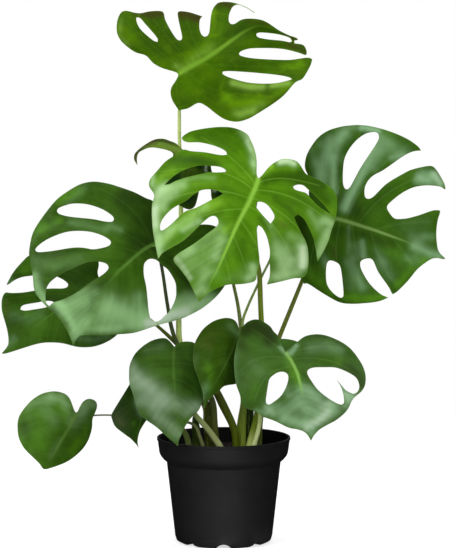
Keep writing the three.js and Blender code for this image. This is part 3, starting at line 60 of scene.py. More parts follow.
# outline, slots, midrib: x, z. depth: x, z, y. veins: start, control and end point of each lateral vein.
LEAVES = {
    "top": dict(
        fold=4.0,
        outline=
        [(-4, 686.8), (-8.2, 685.2), (-14.4, 676.4), (-18.5, 647.6), (-20.4, 644.4), (-22.9, 643.1), (-25.4, 643.6),
        (-28, 646.1), (-30.4, 652.6), (-29.6, 666.4), (-26.9, 668.9), (-45.6, 674.6), (-57.3, 675.2),
        (-58.2, 673.9), (-52.3, 642.5), (-52.5, 640), (-54.5, 638.5), (-57, 638.6), (-60.8, 642.2), (-73.9, 665.1),
        (-75.7, 673.9), (-77.1, 675.2), (-92.3, 675.4), (-104.9, 672.9), (-111.2, 673.3), (-123.8, 676.1),
        (-127.6, 675.2), (-130.5, 672.7), (-134.4, 662.6), (-134.9, 650.1), (-132.3, 642.5), (-126.5, 635.1),
        (-111.4, 624), (-98.1, 619.9), (-89.9, 611.1), (-86.1, 608.4), (-78.6, 604.5), (-58.3, 597.9), (-57, 596),
        (-60.9, 587.5), (-65.4, 580.9), (-67.3, 574.6), (-65.4, 564.5), (-56.7, 550.6), (-52.6, 551.8),
        (-45.8, 553), (-34.4, 559.6), (-30.6, 560.5), (-23, 556.9), (-6.5, 544.2), (2.3, 539.2), (16.3, 536.4),
        (30.2, 539.8), (42.8, 546.6), (74.5, 568.2), (92.1, 587.3), (98.8, 589.7), (101.9, 593.5), (110.3, 608.6),
        (111.9, 614.9), (109.7, 616.6), (104.7, 617), (87, 614.5), (76.9, 614.1), (31.4, 617), (20, 620.1),
        (18.8, 621.2), (19, 622.4), (21.3, 625), (31.4, 628.5), (39, 629.2), (74.3, 628.3), (98.2, 622.4),
        (103.4, 620.2), (104.7, 620.5), (105.3, 622.4), (103.8, 628.7), (100.9, 632.9), (89.5, 635), (89.2, 638.8),
        (93.3, 639.3), (93.9, 640), (93.2, 641.3), (81.9, 645.4), (70.5, 651), (49, 664.1), (26.3, 665.8),
        (20, 663.6), (13.7, 659.3), (8.7, 659.2), (6.5, 662.6), (7.2, 672.7), (9.9, 678.8), (9.9, 679.7),
        (16.6, 684), (28.5, 679.9), (38.7, 673.6), (39.2, 674.1), (28.8, 680.6), (17.1, 685), (7.4, 686.9)],
        holes=[
            [(-110.1, 667.7), (-106.2, 667.8), (-99.9, 660.8), (-83.4, 641.3), (-82.7, 638.8), (-83.5, 636.9),
            (-86.1, 637.1), (-90.7, 640), (-104.9, 652.7), (-108.7, 659.1), (-110.5, 665.1)],
            [(44.3, 648.8), (62.9, 647.6), (75.6, 645.1), (85, 641.3), (86.2, 637.5), (84.4, 636.1), (82.9, 636.3),
            (74.3, 638.3), (56.6, 640), (44, 642.4), (41.5, 644), (40.6, 646.3), (41.5, 647.8)],
            [(-0.9, 599.8), (6.1, 600.4), (71.9, 595), (84.5, 592), (86.4, 590.9), (86.4, 589.7), (69.4, 585.4),
            (51.7, 584.3), (31.4, 585.7), (16.2, 589.3), (1.2, 594.7), (-1.8, 597.2)],],
        midrib=
        [(-56.7, 597.2), (-42.5, 605.4), (-24.8, 614.9), (-4.6, 628.1), (11.8, 640), (27, 650.1), (40.8, 656.4),
        (56, 655.7), (76.2, 647.6), (93.9, 640.7)],
        depth=
        [(-56.7, 597.2, -4), (1.7, 685.8, 100), (1.7, 639.4, 34), (1.7, 595.4, -12), (10.6, 538.6, -68),
        (-80.3, 675.8, 78), (-133.3, 658.2, 44), (93.9, 640.7, 92), (48.4, 664.5, 82), (-65.3, 570.1, -28),
        (111.6, 615.5, 42), (75.1, 568.9, -30), (27, 650.7, 52)],
        veins=
        [(-48.9, 601.7, -23.6, 573.9, 48.5, 560), (-34.9, 609.2, 10.6, 606.7, 96.5, 604.2),
        (-12.2, 622.4, 30.8, 631.9, 96.4, 630.6), (11.8, 639.4, 48.4, 652, 81.3, 644.4),
        (-51.4, 601.7, -80.4, 624.3, -123.2, 662), (-40, 607.3, -72.8, 644.4, -90.4, 668.3),
        (-23.6, 615.5, -42.5, 641.9, -46.2, 669.5), (-3.3, 628.7, -7.1, 654.5, 0.5, 680.8),
        (-56.7, 595.4, -62.8, 573.9, -55.2, 556.3), (15.6, 641.9, 24.4, 653.2, 39.6, 662)],
    ),
    "centre": dict(
        fold=5.0,
        outline=
        [(44.1, 464.4), (48.6, 468.4), (56.9, 478.5), (64.7, 484.8), (73.5, 489), (79.5, 489.4), (84.7, 488.8),
        (89.8, 487.6), (93.9, 485.4), (97.4, 480.9), (100.6, 475.9), (103.8, 470.8), (108.9, 467.9), (121, 462.6),
        (131.1, 456.3), (139.2, 449.9), (142.9, 441.7), (143.7, 431.5), (143.1, 420), (140.8, 409.2), (137, 399),
        (133.9, 387.6), (128.4, 374.8), (119.4, 359.1), (117.2, 374.2), (114.1, 388.2), (108.4, 401.6),
        (101.4, 413.9), (94.4, 419), (89.3, 415.6), (93.2, 406), (99.6, 393.6), (105.1, 382.5), (107.2, 373.6),
        (107.9, 363.4), (107.3, 351.9), (104.8, 341.7), (97.8, 337.6), (91.4, 337.8), (73, 333.5), (55.2, 329.5),
        (58.6, 339.7), (59, 350), (58.3, 360.8), (58.9, 371.7), (56, 386.9), (52.5, 395.9), (46.8, 404.1),
        (44, 405), (42.4, 402.2), (42.7, 391.4), (43.7, 378), (45.3, 358.3), (42.3, 345.5), (40.3, 334.6),
        (27.8, 330.8), (17.6, 329.8), (6.1, 329.4), (-4.7, 326.3), (-16.2, 320.6), (-24.4, 313.8), (-30.6, 307.1),
        (-35.3, 315.5), (-44.2, 333.4), (-54.3, 348), (-63.8, 360.4), (-61.9, 365.3), (-37.1, 381.8), (-21.2, 394),
        (-9.1, 403.4), (-6.3, 408.3), (-9, 415.7), (-11.9, 417.2), (-16.4, 416.5), (-25.6, 409.5), (-35.2, 400.3),
        (-51.3, 385.4), (-68.3, 375.5), (-79, 368.5), (-83.2, 362.5), (-86.9, 381.2), (-89.6, 396.5),
        (-90.8, 411.8), (-91.2, 424.5), (-90.6, 433.4), (-88.7, 438.5), (-88.1, 444.2), (-94.5, 454.4),
        (-94.7, 458.2), (-93.5, 463.2), (-83.3, 475.3), (-73.7, 486.1), (-61.7, 493.9), (-55.3, 498.7),
        (-49.8, 501.4), (-43.3, 499.4), (-24.3, 497.7), (-1.5, 493.9), (4.2, 494.7), (4, 497.5), (1.1, 500.2),
        (-9.7, 505.3), (-30.6, 510.3), (-46.5, 510.5), (-51.5, 512.5), (-53.2, 515.8), (-50.9, 518.6),
        (-43.3, 523.4), (-34.4, 525.9), (-21.1, 528.2), (-5.3, 529.7), (11.2, 528.8), (25.1, 523.7), (31.2, 519),
        (34.6, 512), (37.2, 506.3), (39.5, 500), (41.5, 490.5), (42, 481.6), (41.7, 472.7), (42.3, 467.2)],
        holes=[
            [(-75, 456.4), (-65.5, 466), (-52.1, 474.5), (-38.9, 479.5), (-25.3, 481.2), (-16.4, 480.4),
            (-8.5, 480), (-0.2, 477.6), (3, 474.8), (2.2, 472.7), (-10.2, 472), (-18, 472.5), (-24.4, 471),
            (-34.3, 468.9), (-47.8, 465.6), (-61, 461.3), (-69, 457.1)],
            [(-81, 404.8), (-78, 412.4), (-72.6, 419.4), (-65, 426.4), (-56.7, 431.4), (-45.3, 438), (-38.9, 443.8),
            (-33.5, 447), (-28.8, 449.5), (-24.2, 450.5), (-19.1, 450.7), (-12.3, 450.2), (-5.9, 448.6),
            (-0.8, 445), (-8.5, 440.4), (-16.1, 437), (-24.3, 432.6), (-35.1, 427.2), (-42.1, 425), (-48.5, 422.8),
            (-53.2, 419.2), (-58.7, 413.9), (-66.9, 406), (-75.2, 399.7), (-78.9, 397.8), (-80.7, 398.8)],
            [(88, 454), (90.5, 456), (97.5, 456.8), (101.9, 455.5), (106.4, 451.2), (113.4, 445.5), (122.3, 436.4),
            (130, 427.9), (136.3, 419.2), (128.7, 423.5), (118.5, 430.9), (109.6, 440.3), (104.5, 446.2),
            (99.4, 447.6), (91.2, 450), (88.5, 451.9)],
            [(41.4, 434), (45.5, 435.2), (50.7, 434), (55.7, 430.9), (60.4, 425.1), (64.1, 418.8), (64.8, 415),
            (59.5, 406.9), (41.7, 427.5), (40.3, 431.5)],],
        midrib=
        [(43.8, 464.1), (41, 455), (36.6, 444.8), (30.3, 430.9), (20.7, 413), (11.9, 394), (3, 373.6),
        (-7.2, 350.6), (-19.3, 327.6), (-30.6, 307.1)],
        depth=
        [(44.1, 465.1, -66), (-30.6, 307.1, -122), (10.6, 391.4, -101), (29.6, 430.9, -84), (-5.9, 529.7, -28),
        (14.4, 500.6, -48), (-93.5, 460.1, -36), (-91, 429.6, -38), (-83.6, 364.6, -56), (-30, 449.9, -66),
        (-63.8, 360.8, -88), (37.3, 334, -98), (56.4, 330.2, -78), (97.2, 337.8, -60), (119.4, 359.5, -48),
        (142.6, 430.9, -38), (81.6, 488, -44), (84.3, 418.1, -70)],
        veins=
        [(41, 455, 20.7, 488, -30, 518.3), (38.5, 448.6, -2.1, 488, -80.8, 472.7),
        (33.4, 438.5, -19.9, 462.6, -84.7, 430.9), (27.7, 425.1, -23.7, 429.6, -81, 382.5),
        (14.4, 399, -12.3, 383.8, -54.3, 358.3), (1.7, 369.7, -17.4, 358.3, -42.9, 340.4),
        (42.3, 457.5, 65.1, 472.7, 122.3, 455), (39.1, 449.9, 91.8, 449.9, 136.4, 406.7),
        (34.7, 439.7, 76.6, 429.6, 117.4, 373.6), (29.6, 429.6, 66.5, 416.9, 93.3, 350.6),
        (20.7, 413, 48.7, 373.6, 61.5, 339.1), (11.9, 392.7, 24.6, 364.6, 32.2, 336.5),
        (0.4, 367.2, 5.5, 350.6, 9.3, 332.7)],
    ),
    "right": dict(
        fold=4.0,
        outline=
        [(106.7, 330.9), (127.1, 317.9), (148.8, 306.4), (164.1, 304.8), (176.9, 305.4), (192.2, 306.9),
        (201.1, 309), (209.7, 312.9), (200.8, 316.7), (188.2, 328), (180.5, 338.5), (174.1, 351.7), (173.6, 357.6),
        (175, 360.2), (185.5, 363.1), (189.3, 361.4), (196.5, 346.1), (211.4, 324.4), (214.3, 318), (215, 317.2),
        (217.7, 318), (234, 333.6), (246.2, 348.7), (255.5, 356.5), (265.7, 362.7), (273.3, 363.2), (280.9, 361.7),
        (282, 362.7), (273.6, 371.7), (270.6, 388.6), (270.6, 401), (272.8, 415), (275.1, 421.3), (274.8, 423.9),
        (267.8, 424.2), (246.2, 417.2), (231, 413.5), (218.3, 413.2), (215.8, 414.3), (207.9, 425.1),
        (207.1, 427.7), (207.8, 430.2), (215.6, 437.9), (225.7, 445.7), (234.6, 450.7), (242.2, 453.7),
        (257.4, 455.8), (273.9, 454.5), (277.6, 453.1), (280.3, 450.5), (281.6, 450.7), (281.6, 451.8),
        (280.5, 456.9), (277.7, 462.6), (268.7, 476.8), (264.8, 480.2), (259.8, 480.4), (244.6, 477.4),
        (235.8, 474.7), (229.4, 471.4), (206.6, 457.6), (187.7, 439.5), (183.9, 438.5), (180.6, 439.1),
        (179, 442.9), (179.5, 454.4), (185.5, 464.5), (191.9, 469.6), (201.5, 474.5), (229.3, 493.8),
        (240.6, 498.9), (250.2, 500), (248.2, 503.3), (240.6, 509.6), (229.1, 516.5), (207, 525.3), (184.7, 530.9),
        (172, 532.2), (160.6, 531.7), (149.2, 530.2), (132.8, 525.3), (121.4, 518), (112.8, 507.6), (104.7, 492.4),
        (103.2, 477.2), (107.6, 467.7), (109.6, 457.5), (108.1, 447.4), (109.1, 438.5), (116, 429.2), (123, 423.2),
        (129.4, 417.6), (121.7, 419.9), (114.7, 422.2), (105.8, 425), (96.9, 425.3), (89.6, 422.2), (84.8, 414.3),
        (83, 401.6), (83.6, 386.3), (86.3, 371), (90.5, 357), (95.6, 344.2), (99.5, 335.9), (102.3, 330.2),
        (104.3, 331.3)],
        holes=[
            [(185.2, 522.8), (192.3, 523.4), (195.8, 521.5), (197, 516.5), (195.1, 511.4), (173.2, 477.2),
            (159.7, 452.5), (157.2, 450.5), (154.6, 450.7), (151.9, 455.6), (151.4, 475.9), (152.5, 486.1),
            (154.2, 492.4), (160.4, 503.8), (170.7, 515.2), (180.4, 521.5)],
            [(134, 360.2), (138.5, 360), (146, 356.3), (148.1, 353.8), (152.8, 318), (152.6, 314.5), (151.4, 312.3),
            (148.8, 312.4), (141.6, 316.7), (132.2, 328.2), (130.2, 342.3), (131.8, 357.6)],],
        midrib=
        [(130, 417.4), (140.2, 414.3), (155.4, 410.5), (173.2, 404.8), (194.9, 397.8), (217.8, 389.5),
        (239.5, 381.2), (259.9, 372.3), (272.6, 366.5), (282.9, 362.1)],
        depth=
        [(129.4, 418.1, 24), (282.9, 362.1, -44), (205.1, 395.2, -2), (172.7, 532.3, 58), (250.1, 500.6, 34),
        (280.9, 451.2, 6), (274.8, 424.5, -12), (163.5, 305.9, -6), (214.4, 317.4, -32), (104.4, 493, 46),
        (101, 330.2, 24), (134.7, 525.9, 52), (147.6, 468.9, 36), (160.7, 358.3, 6), (97.1, 373.6, 30),
        (86.8, 409.2, 36), (112.1, 447.4, 40)],
        veins=
        [(132.5, 416.9, 119.7, 447.4, 127.2, 505.7), (140.2, 414.3, 145, 475.3, 175.2, 525.9),
        (154.2, 410.5, 180.5, 475.3, 236.1, 508.2), (170.7, 405.4, 203.5, 457.5, 271.9, 472.7),
        (191.1, 399, 221.5, 409.2, 267.3, 409.2), (135.1, 416.2, 109.8, 388.9, 109.9, 340.4),
        (149.1, 411.8, 135.2, 371, 154.5, 314.8), (164.3, 406.7, 165.8, 358.3, 196.6, 313.5),
        (186, 400.3, 196.4, 358.3, 219.4, 327.6), (214, 390.8, 226.8, 373.6, 242.2, 353.2)],
    ),
    "left": dict(
        fold=4.5,
        outline=
        [(-90.4, 436.4), (-97.9, 439.1), (-113.2, 446.9), (-136, 454.9), (-144.9, 457.6), (-163.9, 460.5),
        (-177.9, 458.5), (-186.8, 454.9), (-208.9, 440.4), (-216.1, 433.3), (-230.4, 415), (-241.1, 398.4),
        (-245, 386.9), (-247.6, 366.5), (-246.4, 362.7), (-244.8, 353.2), (-242.8, 338.5), (-241.6, 324.4),
        (-239.1, 317.4), (-232.8, 309.1), (-225.2, 300.7), (-216.3, 293.4), (-208.1, 284.1), (-201.1, 272.6),
        (-196.1, 262.3), (-191.3, 250), (-189.5, 256.5), (-183.9, 263.6), (-170.5, 264.6), (-151.4, 264.6),
        (-132.9, 265.8), (-113.8, 267.8), (-90.8, 275.3), (-78, 279.2), (-64, 282.8), (-52.3, 286.3),
        (-32.1, 296.3), (-20.9, 303.9), (-8.1, 315.5), (1.4, 328.2), (7.4, 341.7), (9.3, 360.8), (4.2, 382.5),
        (-2.1, 396.5), (-10.4, 403.6), (-21.8, 406), (-35.2, 404.8), (-51.7, 397.8), (-69.5, 388.2), (-84.1, 381.7),
        (-88.2, 386.3), (-87.5, 396.5), (-84, 409.2), (-83, 422), (-85.3, 430.9)],
        holes=[
            [(-189.4, 432.8), (-172.9, 431.7), (-153.9, 425.4), (-140.5, 416.2), (-139.3, 413.7), (-139.5, 411.1),
            (-141.3, 409.5), (-150.2, 409.7), (-165.4, 412.7), (-195.9, 416), (-207.3, 418.7), (-209.9, 420),
            (-212.1, 422.6), (-211.5, 425.1), (-209.8, 426.9), (-197.3, 431.5)],
            [(-196.7, 397.1), (-173.1, 397.3), (-157.8, 393.5), (-146.4, 387.7), (-143.3, 384.4), (-143.2, 381.8),
            (-145.2, 379.3), (-151.6, 376.8), (-166.8, 374.3), (-175.7, 376), (-188.4, 376.7), (-224.1, 371.5),
            (-238.1, 371.1), (-240, 372.9), (-239.3, 375.3), (-230.8, 383.1), (-216.6, 390.8)],
            [(-226.9, 314.8), (-225.6, 325), (-224, 328.2), (-220.5, 333), (-213.5, 338.7), (-204.5, 344.5),
            (-193, 349.8), (-176.5, 357), (-166.3, 359.1), (-157, 358.4), (-150.4, 356.7), (-146.8, 353.7),
            (-146.2, 351.1), (-148.5, 347), (-154.3, 342), (-170.2, 330.8), (-188.1, 318.7), (-206, 309.7),
            (-217.5, 306.1), (-222, 301.8), (-226, 305.3)],
            [(-102, 348.7), (-101, 356.5), (-95.9, 361.7), (-92.5, 362.5), (-87, 361.6), (-82.9, 358.9),
            (-77.2, 353.2), (-72.1, 349.7), (-64.5, 338.5), (-61.1, 330.8), (-60.5, 322.5), (-60.7, 314.2),
            (-65.2, 302), (-71, 293.1), (-74.2, 290.5), (-80.6, 284.1), (-86.9, 281.8), (-92.7, 284.7),
            (-94.2, 287.9), (-95.6, 295), (-98.8, 327), (-101.7, 341)],],
        midrib=
        [(-85.4, 382.5), (-97.5, 376.8), (-109, 368.5), (-124.3, 355.1), (-139.6, 340.4), (-152.4, 323.8),
        (-164, 305.9), (-175.5, 284.1), (-183.9, 268.7), (-191.3, 250)],
        depth=
        [(-85.4, 382.5, -4), (-191.3, 250.8, -86), (-139.6, 340.4, -48), (-164.5, 461.3, 26), (-207.8, 443.6, 8),
        (-246.3, 373.6, -22), (-240.3, 322.5, -42), (0.4, 327.6, 6), (-30.1, 392.7, 12), (-113.1, 268.7, -52),
        (-53.1, 286.7, -20), (-91, 437.2, 16), (-144.4, 411.8, -6), (-170.3, 309.7, -62)],
        veins=
        [(-89.9, 379.9, -106.3, 430.9, -159.5, 452.4), (-97.5, 376.8, -131.7, 409.2, -223.2, 416.9),
        (-107.7, 369.7, -149.6, 388.9, -236.2, 365.9), (-124.3, 355.1, -170.1, 363.4, -231.3, 332.7),
        (-142.2, 336.5, -172.9, 309.7, -211.2, 296.9), (-160.1, 312.3, -178, 299.5, -198.5, 279),
        (-91.1, 378.7, -65.7, 383.8, -14.8, 388.9), (-98.8, 374.8, -55.6, 358.3, -23.8, 319.9),
        (-109, 368.5, -109.1, 322.5, -109.3, 275.1), (-126.9, 352.5, -129.6, 309.7, -142.5, 270),
        (-147.3, 330.2, -152.5, 299.5, -164.1, 268.7), (-97.5, 374.8, -53.1, 325, -58.2, 289.2)],
    ),
    "far_left": dict(
        fold=3.5,
        outline=
        [(-247.7, 366.5), (-254.7, 360.2), (-267.1, 346.1), (-276.6, 329.5), (-275.3, 328.8), (-267.6, 334.2),
        (-258.3, 338.5), (-245.9, 340.6), (-231.3, 341.9), (-218.5, 341), (-210.3, 338.7), (-201.4, 333.6),
        (-197.6, 329.3), (-198.6, 326.7), (-202.7, 324.7), (-219.3, 324.4), (-233.9, 323.1), (-243.5, 321.2),
        (-256.3, 319.2), (-272.8, 318.7), (-277.9, 319.6), (-279.7, 318), (-282.4, 311.6), (-283.1, 301.4),
        (-282.5, 295), (-277, 274.9), (-274.8, 262.9), (-274.6, 255.2), (-274.9, 252.7), (-277.9, 247.5),
        (-283.5, 241.1), (-281.1, 240.6), (-235, 254.1), (-221, 255.3), (-205.7, 254.2), (-185.3, 249.4),
        (-168.7, 249.5), (-158.5, 252), (-150.8, 255.1), (-139.9, 261.7), (-131, 271.3), (-127.1, 286.7),
        (-129.6, 305.9), (-138.4, 322.5), (-148.6, 333.4), (-157.7, 337.1), (-160.5, 344.2), (-158.8, 355.1),
        (-160.5, 363.4), (-167.5, 368.1), (-182.8, 369.5), (-200.6, 369.7), (-220.9, 369.7), (-236.2, 369)],
        holes=[
            [(-259.2, 297.5), (-258.9, 300.1), (-256.4, 302.7), (-237.2, 306.5), (-227.7, 308.3), (-220, 308.4),
            (-216.2, 306.8), (-218.8, 303.9), (-222, 301.8), (-229, 299.7), (-240.5, 297.8), (-252.6, 296),
            (-256.4, 296.3)],],
        midrib=
        [(-158.1, 338.5), (-170.2, 331.4), (-185.6, 319.9), (-200.9, 307.1), (-214.1, 295.9), (-231.6, 282.8),
        (-249.6, 270), (-265, 258.5), (-274.6, 250.1), (-283.5, 241.1)],
        depth=
        [(-158.1, 337.8, 48), (-283.5, 241.1, -4), (-221.4, 290.5, 28), (-208.2, 369.7, 62), (-259.2, 354.4, 48),
        (-282.4, 309.7, 18), (-129.7, 277.7, 40), (-185.9, 249.5, 14), (-234.4, 254.6, 6)],
        veins=
        [(-162.6, 336.5, -182.8, 363.4, -220.9, 365.9), (-172.8, 330.2, -215.9, 358.3, -266.9, 342.9),
        (-190.7, 316.1, -234, 319.9, -277.3, 309.7), (-208.6, 300.7, -241.8, 294.3, -277.6, 279),
        (-161.3, 335.3, -134.6, 312.3, -134.8, 273.8), (-175.3, 327.6, -165.3, 294.3, -160.4, 255.9),
        (-195.8, 311, -193.4, 281.5, -193.6, 253.3), (-218.8, 291.8, -221.5, 273.8, -226.7, 257.2)],
    ),
    "back": dict(
        fold=2.0,
        outline=
        [(-19.1, 487.7), (-24.9, 489.7), (-31.3, 491.3), (-41.4, 493), (-50.3, 500), (-56, 504.4), (-59.8, 508.7),
        (-68, 512), (-75.6, 514.7), (-86.4, 514.2), (-95.2, 510.1), (-103.5, 504.7), (-110.2, 499), (-113.3, 494.9),
        (-113.7, 488.6), (-112, 485.4), (-109.1, 481.1), (-110, 486.1), (-109.6, 493.3), (-107.7, 497.2),
        (-102.9, 500.4), (-92.7, 503.9), (-79.4, 502.4), (-70.6, 500.2), (-64.9, 497.5), (-63.6, 493.7),
        (-70.6, 485.4), (-76.3, 472.7), (-76.3, 458.8), (-69.4, 446.1), (-60.5, 434.7), (-50.4, 427),
        (-42.8, 425.1), (-36.7, 429.2), (-33.6, 438.5), (-30.8, 451.2), (-27.7, 463.9), (-25.7, 468.7),
        (-23.3, 470.7), (-20.8, 469.5), (-18.4, 461.3), (-16.3, 451.2), (-15.6, 441), (-12.9, 433.4), (-7.5, 430.3),
        (-1.6, 433.4), (2.2, 441), (2.7, 450.5), (-1.4, 460.1), (-8.5, 466.2), (-13.5, 470.2), (-15.7, 475.3),
        (-16.3, 481), (-17.3, 486.4)],
        holes=[],
        midrib=
        [(-22.9, 486.4), (-35.1, 489.9), (-45.2, 494.3), (-55.3, 500), (-65.5, 505.1), (-75.6, 508.9),
        (-86.4, 509.7), (-95.9, 507), (-104.1, 501.9), (-110.5, 494.3), (-109.6, 482.3)],
        depth=
        [(-23.7, 486.7, 2), (-49.1, 430.9, -8), (-80.7, 508.2, 12), (-111.1, 488, -6), (-68.1, 456.3, -8),
        (-57.9, 503.2, 5), (-36.4, 468.9, -2), (-74.3, 512, 14), (-74.3, 501.9, 6), (-26.2, 477.8, 1),
        (-18, 474, 13), (-16.1, 461.3, 19), (-13.5, 447.4, 25), (-2.1, 437.2, 34), (0.4, 452.4, 30)],
        veins=
        [(-26.2, 486.9, -28.8, 462.6, -40.2, 432.1), (-40.1, 491.1, -45.2, 465.1, -55.4, 435.9),
        (-51.5, 496.8, -60.5, 477.8, -70.6, 452.4)],
    ),
    "low_far_left": dict(
        fold=3.0,
        outline=
        [(-164.6, 165.2), (-162.2, 171.6), (-162.6, 178.1), (-165.2, 181), (-171.6, 183), (-174.1, 182.8),
        (-179.3, 179.6), (-183.1, 174.2), (-187, 165.8), (-188.3, 164.6), (-189.6, 164.9), (-197, 183.2),
        (-202.2, 188.8), (-213.7, 192.3), (-220.1, 192.2), (-230.3, 190), (-238.8, 185.8), (-248.3, 178.2),
        (-260.4, 162.6), (-263.2, 154.9), (-263.8, 144.6), (-263, 135.5), (-260.6, 127.8), (-254.3, 117.4),
        (-236, 99), (-231, 91.8), (-229.7, 91.5), (-210.4, 97.3), (-198.9, 102.7), (-189.8, 109.4), (-180.8, 118),
        (-174.3, 127.8), (-171.6, 134.2), (-168.6, 145.8), (-167.9, 157.5), (-165.9, 162)],
        holes=[],
        midrib=
        [(-188.5, 163.3), (-194.1, 152.9), (-199.9, 142.6), (-207, 131), (-213.5, 119.4), (-220, 107.7),
        (-225.8, 98.7), (-230.3, 91.4)],
        depth=
        [(-188.9, 163.3, -14), (-230.3, 92.2, -52), (-263.2, 145.2, -40), (-219.4, 192.9, -8), (-168.4, 181.3, 10),
        (-168.5, 145.2, 14), (-190.4, 116.8, -10), (-235, 155.5, -38), (-209.6, 129.7, -34)],
        veins=
        [(-191.5, 158.1, -214.4, 181.3, -240, 176.2), (-196.7, 149.1, -227.3, 160.7, -255.6, 145.2),
        (-205.7, 133.6, -232.6, 134.9, -251.9, 119.4), (-191.5, 159.4, -178.7, 168.4, -168.4, 173.6),
        (-198, 146.5, -183.9, 145.2, -172.4, 145.2), (-208.3, 129.7, -194.2, 124.5, -184, 119.4),
        (-218.7, 110.3, -230.2, 114.2, -240.4, 109)],
    ),
    "low_left_back": dict(
        fold=2.5,
        outline=
        [(-120.4, 201.3), (-132.6, 181.3), (-142.2, 165.3), (-144.3, 160.7), (-143.3, 158.1), (-140.6, 149.7),
        (-137.8, 145.8), (-128.9, 138.7), (-118, 130.5), (-111.7, 123.5), (-108.6, 119.4), (-110.1, 125.2),
        (-110, 130.4), (-107.5, 140.7), (-103.3, 148.4), (-99.4, 154.2), (-91.7, 164.6), (-84, 180), (-82, 194.2),
        (-86.5, 206.4), (-93.4, 210.1), (-98.6, 204), (-103.1, 210.9), (-111.4, 211.9), (-117.1, 207.3)],
        holes=[],
        midrib=
        [(-98, 202.6), (-99.3, 192.9), (-101.3, 181.3), (-103.8, 168.4), (-106.4, 155.5), (-108.8, 142.6),
        (-110, 132.3), (-109, 120.7)],
        depth=
        [(-98, 203.2, 34), (-109.1, 120.7, -26), (-144.2, 162, 12), (-126.2, 187.8, 24), (-84, 187.8, 30),
        (-104.5, 162, 8), (-137.8, 145.2, 2), (-94.3, 162, 14)],
        veins=
        [(-99.3, 194.2, -117.2, 196.8, -131.3, 180), (-101.3, 182.6, -122.4, 178.7, -139, 160.7),
        (-103.8, 168.4, -119.9, 160.7, -131.4, 143.9), (-99.3, 194.2, -90.3, 198.1, -86.5, 189),
        (-101.9, 180, -94.2, 178.7, -90.4, 171)],
    ),
    "low_left": dict(
        fold=3.5,
        outline=
        [(-63, 249.7), (-68.5, 256.5), (-73.6, 260.5), (-79.3, 260.8), (-89.5, 258.4), (-99.8, 252.9),
        (-111.7, 242.4), (-115.2, 237.3), (-119.7, 227), (-120.8, 216.7), (-120.1, 201.3), (-115.9, 188.7),
        (-111.9, 174.2), (-106, 162.2), (-98.1, 154.8), (-91.7, 150.4), (-84.1, 144.6), (-75.8, 136.8),
        (-68.2, 130.2), (-58.5, 122), (-57.7, 128.7), (-54.7, 135.5), (-48.6, 148.4), (-41.2, 158.9),
        (-32.9, 166.9), (-27.7, 177.4), (-23.9, 191.6), (-23.2, 209.6), (-25.8, 227.6), (-30.9, 244.3),
        (-37.2, 254.6), (-44.3, 256.3), (-52.6, 256.1), (-57.9, 254.2)],
        holes=[],
        midrib=
        [(-62.9, 248.4), (-63.9, 237.9), (-64.2, 225.1), (-63.7, 210.9), (-62.7, 195.5), (-61.4, 178.7),
        (-60.1, 160.7), (-59.4, 142.6), (-58.5, 122)],
        depth=
        [(-62.9, 248.2, -28), (-58.5, 122, -96), (-64.8, 187.8, -72), (-120.9, 217.3, -46), (-23.9, 207.1, -40),
        (-90.2, 258.5, -20), (-40.4, 254.6, -20), (-107.1, 165.8, -66), (-40.6, 158.1, -74), (-94.2, 207.1, -60),
        (-36.7, 213.5, -50)],
        veins=
        [(-63.4, 240.5, -81.3, 252, -103, 243), (-64.2, 227.6, -91.5, 232.8, -114.6, 214.8),
        (-63.7, 209.6, -89, 204.5, -109.6, 181.3), (-62.2, 187.8, -81.5, 173.6, -91.7, 154.2),
        (-60.6, 165.8, -71.3, 150.4, -76.4, 141.3), (-63.4, 240.5, -50.6, 250.8, -37.9, 245.6),
        (-64.2, 227.6, -43, 232.8, -29, 217.3), (-63.6, 208.3, -43.1, 204.5, -30.3, 186.5),
        (-62, 186.5, -45.6, 178.7, -40.5, 165.8), (-60.4, 163.3, -53.4, 155.5, -50.8, 147.8)],
    ),
    "low_middle": dict(
        fold=3.0,
        outline=
        [(20, 270.8), (16.5, 280.9), (11.9, 285), (3.6, 286.7), (-9.2, 284.1), (-16.8, 280.2), (-25.7, 272.9),
        (-31.5, 264.9), (-36.2, 255.9), (-38.7, 244.3), (-39.2, 232), (-36.9, 221.2), (-33.5, 212.2),
        (-29.6, 200.6), (-26.5, 189), (-25.8, 180), (-25.2, 169.7), (-20.7, 179.4), (-13.7, 187.1), (-4.2, 194.7),
        (-0.9, 198.6), (7.4, 200.8), (15.1, 201.9), (24.7, 207.7), (34.9, 219.3), (41.9, 235.3), (42.5, 252),
        (36.8, 266.1), (29.1, 274.4), (23.1, 276)],
        holes=[],
        midrib=
        [(20.3, 269.5), (16.3, 259.7), (11.9, 248.2), (6.1, 235.3), (-0.2, 222.5), (-7.3, 209.6), (-14.3, 198.1),
        (-20.3, 186.5), (-25.2, 169.7)],
        depth=
        [(20.3, 270, -30), (-25.2, 169.7, -88), (-0.9, 222.5, -70), (-39.2, 232.8, -58), (-35.3, 254.6, -46),
        (-9.8, 284.1, -24), (41.2, 252, -8), (20.8, 207.1, -44), (-14.9, 252, -56), (27.2, 232.8, -33)],
        veins=
        [(18.3, 264.9, 0.4, 279, -17.5, 271.3), (14.4, 254.6, -12.4, 263.6, -32.8, 245.6),
        (8.7, 241.1, -14.9, 240.5, -34.1, 225.1), (0.4, 223.8, -14.9, 217.3, -26.4, 201.9),
        (-8.6, 207.1, -18.8, 198.1, -23.9, 189), (18.3, 264.9, 28.5, 268.7, 36.1, 258.5),
        (13.8, 253.3, 28.5, 250.8, 36.1, 235.3), (6.8, 236.6, 18.3, 227.6, 23.4, 214.8),
        (-3.4, 216.1, 2.9, 209.6, 5.5, 203.2)],
    ),
    "low_right": dict(
        fold=3.5,
        outline=
